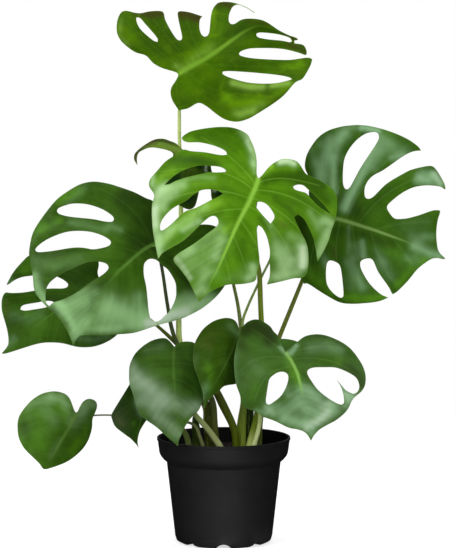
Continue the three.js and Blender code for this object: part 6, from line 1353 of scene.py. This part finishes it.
def make_pot():
    profile = split_long(filleted(POT, 0.8), 9.0)
    verts, faces = lathe(profile, 144)
    ob = mesh_object("nursery_pot", verts, faces)
    tools = []
    for k in range(8):
        a = -math.pi / 2 + k * math.tau / 8
        d = np.array([math.cos(a), math.sin(a), 0])
        tools.append(rod(f"arch_{k}", d * 44 + [0, 0, -5], d * 68 + [0, 0, -5], 11, 48))
    for k in range(6):
        a = k * math.tau / 6 + math.pi / 6
        d = np.array([math.cos(a), math.sin(a), 0]) * 31
        tools.append(rod(f"drain_{k}", d + [0, 0, 3], d + [0, 0, 9], 4, 32))
    cut(ob, tools)
    crease(ob, 34)
    return ob


def make_soil():
    rng = random.Random(7)
    np.random.seed(7)
    rings, segs = 46, 150
    rr = np.linspace(0, 1, rings) ** 0.8 * 77.8
    verts, kinds = [(0, 0, 117)], [0.4]

    def lumps(x, y):
        q = np.array([[x, y]])
        z = 0.9 * wave(q, 3, 26)[0] + 0.8 * wave(q, 4, 11)[0] + 0.6 * wave(q, 5, 5)[0]
        return float(z)

    faces = []
    for i in range(1, rings):
        for k in range(segs):
            a = math.tau * k / segs
            r = rr[i]
            x, y = r * math.cos(a), r * math.sin(a)
            z = np.interp(r, [0, 40, 64, 78], [117, 116.6, 115.2, 113])
            fade = min(1.0, (77.8 - r) / 3)
            verts.append((x, y, z + fade * (lumps(x, y) + rng.uniform(-0.55, 0.55))))
            kinds.append(rng.random())
    for k in range(segs):
        faces.append((0, 1 + k, 1 + (k + 1) % segs))
    for i in range(rings - 2):
        for k in range(segs):
            a, b = 1 + i * segs + k, 1 + i * segs + (k + 1) % segs
            faces.append((a, a + segs, b + segs, b))
    top = len(verts) - segs
    # sides and underside, just inside the pot's wall
    wall = [(77.8, 112.6), (74.0, 109.0), (69.6, 105.6), (68.9, 98), (59.3, 13.2), (56.8, 8.0), (0, 8.0)]
    prev = list(range(top, top + segs))
    for r, z in wall:
        if r == 0:
            c = len(verts)
            verts.append((0, 0, z))
            kinds.append(0.5)
            for k in range(segs):
                faces.append((prev[k], c, prev[(k + 1) % segs]))
        else:
            cur = list(range(len(verts), len(verts) + segs))
            for k in range(segs):
                a = math.tau * k / segs
                verts.append((r * math.cos(a), r * math.sin(a), z))
                kinds.append(rng.random())
            for k in range(segs):
                j = (k + 1) % segs
                faces.append((prev[k], cur[k], cur[j], prev[j]))
            prev = cur
    # crumbs of bark and peat on the surface
    bm = bmesh.new()
    bmesh.ops.create_icosphere(bm, subdivisions=2, radius=1.0)
    unit = np.array([v.co for v in bm.verts])
    unit_f = [tuple(v.index for v in f.verts) for f in bm.faces]
    bm.free()
    stems = [(r[-1][0], r[-1][1], r[-1][3]) for r in PETIOLES.values()]
    for _ in range(620):
        r, a = 75.8 * math.sqrt(rng.random()), rng.uniform(0, math.tau)
        x, y = r * math.cos(a), r * math.sin(a)
        size = rng.choice([1.0, 1.2, 1.5, 1.9, 2.6, 3.6]) * rng.uniform(0.8, 1.2)
        if r + size > 78 or any(math.hypot(x - sx, y - sy) < sr + size + 1.0 for sx, sy, sr in stems):
            continue
        z = float(np.interp(r, [0, 40, 64, 78], [117, 116.6, 115.2, 113])) + lumps(x, y)
        sx, sy, sz = size * rng.uniform(0.8, 1.6), size * rng.uniform(0.6, 1.0), size * rng.uniform(0.45, 0.8)
        t = rng.uniform(0, math.tau)
        q = unit * (1 + 0.22 * np.sin(unit * rng.uniform(2, 5) + rng.uniform(0, 6)).sum(1)[:, None] / 2)
        q = q * [sx, sy, sz]
        tilt = rng.uniform(-0.5, 0.5)
        q = q @ np.array([[1, 0, 0], [0, math.cos(tilt), -math.sin(tilt)], [0, math.sin(tilt), math.cos(tilt)]])
        q = q @ np.array([[math.cos(t), -math.sin(t), 0], [math.sin(t), math.cos(t), 0], [0, 0, 1]])
        base = len(verts)
        kind = rng.random()
        verts += [tuple(v + [x, y, z + sz * 0.25]) for v in q]
        kinds += [kind] * len(q)
        faces += [tuple(base + i for i in f) for f in unit_f]
    ob = mesh_object("potting_soil", verts, faces, dict(kind=kinds))
    return ob


# ---------------------------------------------------------------- materials
class Nodes:
    def __init__(self, name):
        self.mat = bpy.data.materials.new(name)
        self.mat.use_nodes = True
        self.tree = self.mat.node_tree
        self.shader = self.tree.nodes["Principled BSDF"]

    def put(self, socket, value):
        if isinstance(value, bpy.types.NodeSocket):
            self.tree.links.new(value, socket)
        elif value is not None:
            socket.default_value = value

    def attr(self, name):
        n = self.tree.nodes.new("ShaderNodeAttribute")
        n.attribute_name = name
        return n.outputs["Fac"]

    def attr_vector(self, name):
        n = self.tree.nodes.new("ShaderNodeAttribute")
        n.attribute_name = name
        return n.outputs["Vector"]

    def place(self):
        return self.tree.nodes.new("ShaderNodeTexCoord").outputs["Object"]

    def math(self, op, a, b=None, c=None, clamp=False):
        n = self.tree.nodes.new("ShaderNodeMath")
        n.operation = op
        n.use_clamp = clamp
        for i, v in enumerate((a, b, c)):
            if v is not None:
                self.put(n.inputs[i], v)
        return n.outputs[0]

    def span(self, x, lo, hi, to0=0.0, to1=1.0):
        n = self.tree.nodes.new("ShaderNodeMapRange")
        n.interpolation_type = "SMOOTHSTEP"
        self.put(n.inputs["Value"], x)
        for key, v in (("From Min", lo), ("From Max", hi), ("To Min", to0), ("To Max", to1)):
            self.put(n.inputs[key], v)
        return n.outputs["Result"]

    def mix(self, fac, a, b, kind="MIX"):
        n = self.tree.nodes.new("ShaderNodeMix")
        n.data_type = "RGBA"
        n.blend_type = kind
        self.put(n.inputs["Factor"], fac)
        self.put(n.inputs["A"] if n.inputs["A"].type == "RGBA" else n.inputs[6], a)
        self.put(n.inputs["B"] if n.inputs["B"].type == "RGBA" else n.inputs[7], b)
        return n.outputs[2]

    def noise(self, vec, scale, detail=3.0, rough=0.55, dist=0.0):
        n = self.tree.nodes.new("ShaderNodeTexNoise")
        self.put(n.inputs["Vector"], vec)
        n.inputs["Scale"].default_value = scale
        n.inputs["Detail"].default_value = detail
        n.inputs["Roughness"].default_value = rough
        n.inputs["Distortion"].default_value = dist
        return n.outputs["Fac"]

    def stretch(self, vec, scale):
        n = self.tree.nodes.new("ShaderNodeMapping")
        self.put(n.inputs["Vector"], vec)
        n.inputs["Scale"].default_value = scale
        return n.outputs["Vector"]

    def bump(self, height, strength, distance):
        n = self.tree.nodes.new("ShaderNodeBump")
        self.put(n.inputs["Height"], height)
        n.inputs["Strength"].default_value = strength
        n.inputs["Distance"].default_value = distance
        return n.outputs["Normal"]


def leaf_material(name, deep, mid, pale, rib, under, painted_sheen, rim, shade, bright, warm, painted_highlight,
                  rib_w=2.2, rib_end=1.0, rib_mix=0.9, rough=0.42, vein_mix=0.3, streak=1.0, spec=0.18):
    g = Nodes(name)
    p = g.place()
    dm, dv, phi = g.attr("rib"), g.attr("vein"), g.attr("phi")
    along, edge, back, grain = g.attr("along"), g.attr("edge"), g.attr("under"), g.attr("grain")
    large = g.noise(p, 13.0, 3.0, 0.5)
    patchy = g.noise(p, 42.0, 3.0, 0.55, 0.6)
    fine = g.noise(p, 130.0, 4.0, 0.6)
    col = g.mix(g.span(large, 0.32, 0.68), srgb(*deep), srgb(*mid))
    # painted light: a little lighter on the puffed blade between the veins
    painted_puff_light = g.math("MULTIPLY", g.math("ABSOLUTE", g.math("SINE", g.math("MULTIPLY", phi, math.pi))), grain)
    col = g.mix(g.math("MULTIPLY", g.span(painted_puff_light, 0.4, 1.0), 0.20 * streak), col, srgb(*pale))
    # faint parallel veins, and irregular mottling
    lines = g.math("MULTIPLY", g.math("SINE", g.math("ADD", g.math("MULTIPLY", phi, 38.0), g.math("MULTIPLY", fine, 4.0))), grain)
    lines2 = g.math("MULTIPLY", g.math("SINE", g.math("ADD", g.math("MULTIPLY", phi, 15.0), g.math("MULTIPLY", large, 14.0))), grain)
    col = g.mix(g.math("MULTIPLY", g.span(lines, 0.2, 1.0), 0.07 * streak), col, srgb(*pale))
    col = g.mix(g.math("MULTIPLY", g.span(lines2, 0.2, 1.0), 0.12 * streak), col, srgb(*deep))
    col = g.mix(g.math("MULTIPLY", g.span(patchy, 0.5, 0.72), 0.22), col, srgb(*pale))
    col = g.mix(g.math("MULTIPLY", g.span(patchy, 0.5, 0.3), 0.20), col, srgb(*deep))
    col = g.mix(g.math("MULTIPLY", g.span(fine, 0.54, 0.74), 0.22), col, srgb(*pale))
    col = g.mix(g.math("MULTIPLY", g.span(fine, 0.46, 0.28), 0.22), col, srgb(*deep))
    # painted light (yellower), painted shade (darker), browner parts, painted sheen and painted highlights
    wander = g.math("ADD", g.math("MULTIPLY", g.math("SUBTRACT", patchy, 0.5), 1.5), g.math("MULTIPLY", lines2, 0.06))

    def part(key, low, high, loose=0.5):
        return g.span(g.math("ADD", g.attr(key), g.math("MULTIPLY", wander, g.span(g.attr(key), 0.0, 0.4, 0.0, loose))), low, high)
    # painted light: lighter, yellower green where light falls on the blade
    col = g.mix(part("bright", 0.0, 1.0), col, srgb(*bright))
    # painted shade: darker green where the blade lies in shadow
    col = g.mix(part("shade", 0.0, 1.0), col, srgb(*shade))
    col = g.mix(part("warm", 0.0, 0.95), col, srgb(*warm))
    wander = g.math("ADD", g.math("MULTIPLY", g.math("SUBTRACT", patchy, 0.5), 0.5), g.math("MULTIPLY", lines2, 0.05))
    # painted sheen: pale grey-green where the soft lights reflect on the glossy blade
    sheen = part("painted_sheen", -0.05, 1.05)
    col = g.mix(sheen, col, srgb(*painted_sheen))
    # painted highlights: whitish spots where the lights glint on the blade
    col = g.mix(part("painted_highlight", 0.0, 1.0), col, srgb(*painted_highlight))
    # lateral veins
    vein = g.math("MULTIPLY", g.span(dv, 0.2, 1.7, 1.0, 0.0), g.span(along, 0.0, 1.0, vein_mix, vein_mix * 0.6))
    col = g.mix(vein, col, srgb(*rib))
    # the midrib narrows towards the tip and melts into the blade
    w = g.span(along, 0.0, 1.0, rib_w, rib_w * 0.35)
    body = g.span(g.math("DIVIDE", dm, w), 0.15, 1.5, 1.0, 0.0)
    col = g.mix(g.math("MULTIPLY", body, g.span(along, rib_end * 0.55, rib_end, rib_mix, rib_mix * 0.12)), col, srgb(*rib))
    # thin margin
    col = g.mix(g.span(edge, 0.2, 1.1, 0.28, 0.0), col, srgb(*rim))
    # underside
    ucol = g.mix(g.span(large, 0.3, 0.7), srgb(*[c * 0.88 for c in under]), srgb(*under))
    ucol = g.mix(g.math("MULTIPLY", g.span(patchy, 0.45, 0.75), 0.25), ucol, srgb(*[min(255, c * 1.12 + 6) for c in under]))
    ucol = g.mix(g.math("MULTIPLY", g.span(dv, 0.3, 1.6, 1.0, 0.0), 0.5), ucol, srgb(*[min(255, c * 1.25) for c in under]))
    ucol = g.mix(g.span(dm, 0.8, 2.6, 0.85, 0.0), ucol, srgb(*[min(255, c * 1.35) for c in under]))
    col = g.mix(back, col, ucol)
    g.put(g.shader.inputs["Base Color"], col)
    r = g.math("ADD", g.math("MULTIPLY", patchy, 0.14), rough - 0.07)
    r = g.math("ADD", r, g.math("MULTIPLY", sheen, 0.12))
    r = g.math("ADD", r, g.math("MULTIPLY", back, 0.2))
    g.put(g.shader.inputs["Roughness"], r)
    g.shader.inputs["Specular IOR Level"].default_value = spec
    h = g.math("ADD", g.math("MULTIPLY", lines, 0.12), g.math("MULTIPLY", fine, 0.7))
    h = g.math("ADD", h, g.math("MULTIPLY", patchy, 1.6))
    g.put(g.shader.inputs["Normal"], g.bump(h, 0.3, 0.0005))
    return g.mat


def stalk_material(name, top, middle, low, length, neck, reach=(95.0, 14.0), streak=(60, 60, 25), rough=0.46, fleck=0.3):
    g = Nodes(name)
    coat = g.attr_vector("coat")
    run, togo = g.attr("run"), g.attr("togo")
    stripes = g.noise(g.stretch(coat, (1.0, 1.0, 0.05)), 1.4, 4.0, 0.6)
    blotch = g.noise(g.stretch(coat, (0.4, 0.4, 0.12)), 0.6, 3.0, 0.6)
    a = g.span(g.math("DIVIDE", run, length), 0.06, 0.48)
    b = g.span(togo, *reach)
    col = g.mix(a, srgb(*top), srgb(*middle))
    col = g.mix(b, col, srgb(*low))
    col = g.mix(g.math("MULTIPLY", g.span(stripes, 0.48, 0.75), fleck), col, srgb(*streak))
    light = tuple(min(255, c * 1.22 + 5) for c in middle)
    col = g.mix(g.math("MULTIPLY", g.span(blotch, 0.5, 0.8), 0.35), col, srgb(*light))
    # paler knee below the blade, and the blade's own green where the two join
    knee = g.span(g.math("ABSOLUTE", g.math("SUBTRACT", run, 20.0)), 3.0, 10.0, 1.0, 0.0)
    col = g.mix(g.math("MULTIPLY", knee, 0.25), col, srgb(*[min(255, c * 1.2 + 12) for c in top]))
    col = g.mix(g.span(run, 20.0, 10.0), col, srgb(*neck))
    # brown and dusty at the soil
    col = g.mix(g.math("MULTIPLY", g.span(togo, 15.0, 10.0), 0.5), col, srgb(70, 60, 36))
    g.put(g.shader.inputs["Base Color"], col)
    g.put(g.shader.inputs["Roughness"], g.span(stripes, 0.2, 0.8, rough - 0.05, rough + 0.12))
    g.shader.inputs["Specular IOR Level"].default_value = 0.07
    g.put(g.shader.inputs["Normal"], g.bump(g.math("ADD", stripes, g.math("MULTIPLY", blotch, 0.6)), 0.4, 0.0006))
    return g.mat


def pot_material():
    g = Nodes("black_plastic")
    p = g.place()
    grain = g.noise(p, 900.0, 2.0, 0.6)
    cloud = g.noise(p, 26.0, 4.0, 0.6)
    scuff = g.noise(g.stretch(p, (40.0, 40.0, 260.0)), 1.0, 5.0, 0.62, 0.4)
    scratch = g.noise(g.stretch(p, (500.0, 500.0, 30.0)), 1.0, 3.0, 0.6)
    col = g.mix(g.span(cloud, 0.3, 0.7), srgb(7, 7, 8), srgb(13, 13, 14))
    col = g.mix(g.math("MULTIPLY", g.span(scuff, 0.62, 0.78), 0.18), col, srgb(50, 50, 50))
    col = g.mix(g.math("MULTIPLY", g.span(scratch, 0.66, 0.8), 0.16), col, srgb(58, 58, 57))
    sep = g.tree.nodes.new("ShaderNodeSeparateXYZ")
    g.put(sep.inputs[0], p)
    low = g.span(sep.outputs["Z"], 0.03, 0.0, 0.0, 1.0)
    dust = g.math("MULTIPLY", low, g.span(cloud, 0.45, 0.7, 0.0, 0.07))
    col = g.mix(dust, col, srgb(96, 92, 84))
    g.put(g.shader.inputs["Base Color"], col)
    r = g.math("ADD", g.math("MULTIPLY", scuff, 0.16), 0.66)
    g.put(g.shader.inputs["Roughness"], r)
    g.shader.inputs["Specular IOR Level"].default_value = 0.2
    h = g.math("ADD", g.math("MULTIPLY", grain, 0.5), g.math("MULTIPLY", g.noise(g.stretch(p, (4.0, 4.0, 400.0)), 1.0, 2.0), 0.5))
    g.put(g.shader.inputs["Normal"], g.bump(h, 0.25, 0.0003))
    return g.mat


def soil_material():
    g = Nodes("potting_mix")
    p = g.place()
    kind = g.attr("kind")
    a = g.noise(p, 220.0, 5.0, 0.65)
    b = g.noise(p, 45.0, 4.0, 0.6)
    col = g.mix(g.span(a, 0.3, 0.7), srgb(17, 13, 9), srgb(38, 29, 21))
    col = g.mix(g.math("MULTIPLY", g.span(kind, 0.74, 0.92), 0.7), col, srgb(62, 45, 31))
    col = g.mix(g.math("MULTIPLY", g.span(kind, 0.95, 0.98), 0.6), col, srgb(104, 84, 60))
    col = g.mix(g.math("MULTIPLY", g.span(b, 0.5, 0.75), 0.5), col, srgb(18, 13, 9))
    g.put(g.shader.inputs["Base Color"], col)
    g.put(g.shader.inputs["Roughness"], g.span(a, 0.2, 0.8, 0.78, 0.97))
    g.shader.inputs["Specular IOR Level"].default_value = 0.25
    g.put(g.shader.inputs["Normal"], g.bump(g.math("ADD", a, g.math("MULTIPLY", g.noise(p, 900.0, 3.0), 0.5)), 0.8, 0.0012))
    return g.mat


# ---------------------------------------------------------------- camera, light and stage
scene = bpy.context.scene
cam = bpy.data.objects.new("camera", bpy.data.cameras.new("camera"))
cam.data.lens = 36.0 * (3000 / 1.2687) / 548.0
cam.data.sensor_width = 36.0
cam.data.clip_end = 60.0
cam.location = (0.0055, -3.0, 0.588)
cam.rotation_euler = (math.radians(90 - 4.67), 0, 0)
scene.collection.objects.link(cam)
scene.camera = cam

scene.view_settings.view_transform = "Standard"
scene.view_settings.look = "None"

world = bpy.data.worlds.new("studio")
world.use_nodes = True
world.node_tree.nodes["Background"].inputs["Color"].default_value = (1, 1, 1, 1)
world.node_tree.nodes["Background"].inputs["Strength"].default_value = 0.50
scene.world = world
world.cycles_visibility.glossy = False


def softbox(name, at, aim, size, watts, mirrored=True, diffuse=True):
    """A large studio light. One that isn't mirrored gives only flat light; one without diffuse only a reflection."""
    d = bpy.data.lights.new(name, "AREA")
    d.shape = "RECTANGLE"
    d.size, d.size_y = size
    d.energy = watts
    o = bpy.data.objects.new(name, d)
    o.location = at
    o.rotation_euler = (Vector(aim) - Vector(at)).to_track_quat("-Z", "Y").to_euler()
    o.visible_camera = False
    o.visible_glossy = mirrored
    o.visible_diffuse = diffuse
    scene.collection.objects.link(o)
    return o


softbox("key", (-1.7, -1.5, 2.1), (0, 0, 0.35), (1.3, 1.1), 46)
softbox("side", (2.3, -0.7, 1.3), (0, 0, 0.35), (1.0, 1.4), 20)
softbox("fill", (0.3, -3.4, 1.2), (0, 0, 0.3), (2.0, 1.6), 42, mirrored=False)
softbox("top", (0.2, 0.3, 2.4), (0, 0, 0.35), (1.4, 1.2), 14)
softbox("back", (0.3, 2.4, 1.5), (0, 0, 0.35), (2.0, 1.2), 16)
softbox("bounce", (0.0, -0.9, -0.30), (0, 0, 0.08), (0.7, 0.5), 10.2, diffuse=False)


def stage_material(name, inner, outer, base):
    m = bpy.data.materials.new(name)
    m.use_nodes = True
    t = m.node_tree
    t.nodes.remove(t.nodes["Principled BSDF"])
    glow = t.nodes.new("ShaderNodeEmission")
    glow.inputs["Strength"].default_value = 1.0
    paint = t.nodes.new("ShaderNodeBsdfDiffuse")
    paint.inputs["Color"].default_value = (0.5, 0.5, 0.5, 1)
    lift = t.nodes.new("ShaderNodeEmission")
    lift.inputs["Strength"].default_value = base
    both = t.nodes.new("ShaderNodeAddShader")
    t.links.new(paint.outputs[0], both.inputs[0])
    t.links.new(lift.outputs[0], both.inputs[1])
    co = t.nodes.new("ShaderNodeTexCoord")
    ln = t.nodes.new("ShaderNodeVectorMath")
    ln.operation = "LENGTH"
    t.links.new(co.outputs["Object"], ln.inputs[0])
    mr = t.nodes.new("ShaderNodeMapRange")
    mr.interpolation_type = "SMOOTHSTEP"
    mr.inputs["From Min"].default_value = inner
    mr.inputs["From Max"].default_value = outer
    t.links.new(ln.outputs["Value"], mr.inputs["Value"])
    mx = t.nodes.new("ShaderNodeMixShader")
    t.links.new(mr.outputs[0], mx.inputs[0])
    t.links.new(both.outputs[0], mx.inputs[1])
    t.links.new(glow.outputs[0], mx.inputs[2])
    t.links.new(mx.outputs[0], t.nodes["Material Output"].inputs[0])
    return m


def make_stage():
    v, f = lathe([(0, 0)] + [(r, 0) for r in (100, 300, 600, 1100, 2000, 4000, 6500)], 96)
    v = np.array(v)
    floor = mesh_object("floor", v - [0, 0, 0.3], [tuple(reversed(q)) for q in f])
    prof = [(6300, -4), (6500, -3)] + [(6500 + 2500 * math.sin(a), 2497 - 2500 * math.cos(a)) for a in np.linspace(0.1, math.pi / 2, 12)]
    prof += [(9000, 14000)]
    v, f = lathe(prof, 96)
    wall = mesh_object("backdrop", v, f)
    floor.data.materials.append(stage_material("floor_white", 0.5, 1.3, 0.62))
    wall.data.materials.append(stage_material("wall_white", 0.1, 0.2, 0.6))
    for o in (floor, wall):
        o.visible_diffuse = o.visible_glossy = o.visible_transmission = False
        o.visible_shadow = False


# ---------------------------------------------------------------- the plant
# each palette also holds the colours of the painted sheen, painted highlights, painted light and painted shade of the
# strokes
DARK = dict(deep=(36, 66, 3), mid=(50, 86, 8), pale=(70, 110, 26), rib=(106, 146, 62), under=(104, 136, 84),
            painted_sheen=(124, 160, 118), rim=(90, 118, 54), shade=(28, 50, 2), bright=(72, 120, 20), warm=(66, 66, 30),
            painted_highlight=(172, 190, 166), spec=0.07)
FRESH = dict(deep=(56, 98, 0), mid=(70, 117, 4), pale=(98, 148, 24), rib=(138, 184, 64), under=(128, 164, 84),
             painted_sheen=(164, 202, 138), rim=(105, 146, 36), shade=(42, 76, 0), bright=(116, 166, 34), warm=(82, 76, 40),
             painted_highlight=(194, 216, 176))
LOOKS = {
    "top": dict(FRESH, deep=(38, 68, 0), mid=(53, 88, 0), pale=(84, 118, 6), rib=(104, 146, 40), bright=(84, 126, 2),
                painted_sheen=(116, 152, 60), shade=(34, 62, 0), warm=(50, 48, 12), rim=(78, 108, 18), vein_mix=0.05, rib_w=3.6,
                rib_end=0.72, rib_mix=0.66, streak=0.6, spec=0.01),
    "centre": dict(FRESH, rib=(128, 176, 60), rib_w=3.4, rib_end=0.95, rib_mix=0.82, vein_mix=0.22, streak=0.9, spec=0.03),
    "right": dict(DARK, rib_w=2.8, rib_end=0.78, rib_mix=0.7, vein_mix=0.09, deep=(38, 70, 5), mid=(51, 88, 12),
                  rib=(120, 154, 82), spec=0.02),
    "left": dict(DARK, rib_w=2.6, rib_end=0.5, rib_mix=0.62, vein_mix=0.08, rib=(92, 134, 54), painted_sheen=(128, 168, 112)),
    "far_left": dict(DARK, rib_w=1.6, rib_end=0.9, rib_mix=0.22, vein_mix=0.05),
    "back": dict(DARK, deep=(44, 62, 4), mid=(60, 82, 10), shade=(10, 42, 4), bright=(98, 124, 40), warm=(62, 50, 32), rib_mix=0.3, vein_mix=0.06),
    "low_far_left": dict(DARK, deep=(44, 78, 6), mid=(57, 96, 13), pale=(80, 126, 38), rib_w=2.8, rib_end=0.9,
                         rib_mix=0.5, vein_mix=0.07, painted_sheen=(122, 156, 106), bright=(68, 114, 6)),
    "low_left_back": dict(DARK, deep=(22, 42, 3), mid=(30, 54, 5), pale=(46, 74, 16), rib_mix=0.15, vein_mix=0.04, spec=0.05),
    "low_left": dict(DARK, deep=(34, 62, 8), mid=(44, 77, 14), rib_w=2.0, rib_end=0.6, rib_mix=0.15, vein_mix=0.05,
                     painted_sheen=(124, 146, 116)),
    "low_middle": dict(DARK, deep=(32, 56, 2), mid=(42, 69, 4), pale=(58, 88, 16), rib_w=1.8, rib_end=0.9, rib_mix=0.16,
                       vein_mix=0.04, spec=0.02),
    "low_right": dict(DARK, deep=(42, 72, 14), mid=(54, 88, 24), pale=(74, 112, 44), rib=(122, 166, 78), rib_w=2.4,
                      rib_end=0.56, rib_mix=0.8, vein_mix=0.08, painted_sheen=(130, 166, 124), shade=(38, 56, 14)),
    "low_right_back": dict(DARK, deep=(48, 84, 16), mid=(60, 100, 26), rib_mix=0.3, vein_mix=0.06),
}
BIG = {"top": 1, "centre": 1, "right": 1, "left": 1, "far_left": 0.9, "back": 0.6, "low_far_left": 0.5,
       "low_left_back": 0.4, "low_left": 0.6, "low_middle": 0.5, "low_right": 0.7, "low_right_back": 0.3}
PLEAT = {"top": 0.4, "centre": 0.7, "right": 0.6, "left": 0.6, "far_left": 0.5, "back": 0.4, "low_far_left": 0.35,
         "low_left_back": 0.3, "low_left": 0.3, "low_middle": 0.3, "low_right": 0.45, "low_right_back": 0.2}
STALKS = {
    "top": ((188, 206, 128), (174, 194, 110), (66, 72, 20), (150, 78)),
    "centre": ((120, 144, 40), (100, 118, 30), (170, 184, 108), (42, 12)),
    "right": ((100, 112, 44), (92, 104, 36), (66, 78, 30)),
    "left": ((66, 78, 46), (68, 80, 44), (84, 88, 30)),
    "far_left": ((66, 92, 46), (78, 88, 28), (88, 104, 14), (80, 16)),
    "back": ((128, 142, 92), (108, 122, 62), (136, 160, 46)),
    "young": ((128, 152, 88), (122, 144, 74), (28, 42, 6), (110, 62)),
    # the shoot's very dark green is painted shade for the gap between the stems
    "shoot": ((40, 62, 14), (34, 54, 10), (54, 70, 20)),
    "low_far_left": ((120, 122, 104), (92, 100, 70), (122, 130, 78)),
    "low_left_back": ((84, 108, 52), (80, 98, 44), (90, 104, 50)),
    "low_left": ((120, 140, 80), (130, 146, 86), (160, 168, 112)),
    "low_middle": ((90, 112, 44), (100, 120, 44), (122, 140, 50)),
    "low_right": ((110, 144, 74), (118, 146, 70), (186, 196, 136)),
    "low_right_back": ((70, 96, 40), (40, 62, 20), (34, 54, 18)),
}

pieces = []
for i, (name, leaf) in enumerate(LEAVES.items()):
    ob = blade(name, leaf, 11 + i, BIG[name], PLEAT[name], STROKES.get(name, ()))
    ob.data.materials.append(leaf_material("leaf_" + name + "_green", **LOOKS[name]))
    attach(ob, "root")
    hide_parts("leaf_" + name)
    pieces.append(ob)
for name, rows in PETIOLES.items():
    big = BIG.get(name, 0.5)
    ob = stalk(name, rows, big)
    top, middle, low, *reach = STALKS[name]
    length = sum(math.dist(a[:3], b[:3]) for a, b in zip(rows[:-1], rows[1:]))
    ob.data.materials.append(stalk_material("stalk_" + name + "_green", top, middle, low, length,
                                            LOOKS[name]["rib"] if name in LOOKS else top, *reach))
    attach(ob, "root")
    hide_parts("petiole_" + name)
    pieces.append(ob)
pot = make_pot()
pot.data.materials.clear()
pot.data.materials.append(pot_material())
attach(pot, "root")
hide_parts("pot")
soil = make_soil()
soil.data.materials.append(soil_material())
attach(soil, "root")
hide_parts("soil")
make_stage()
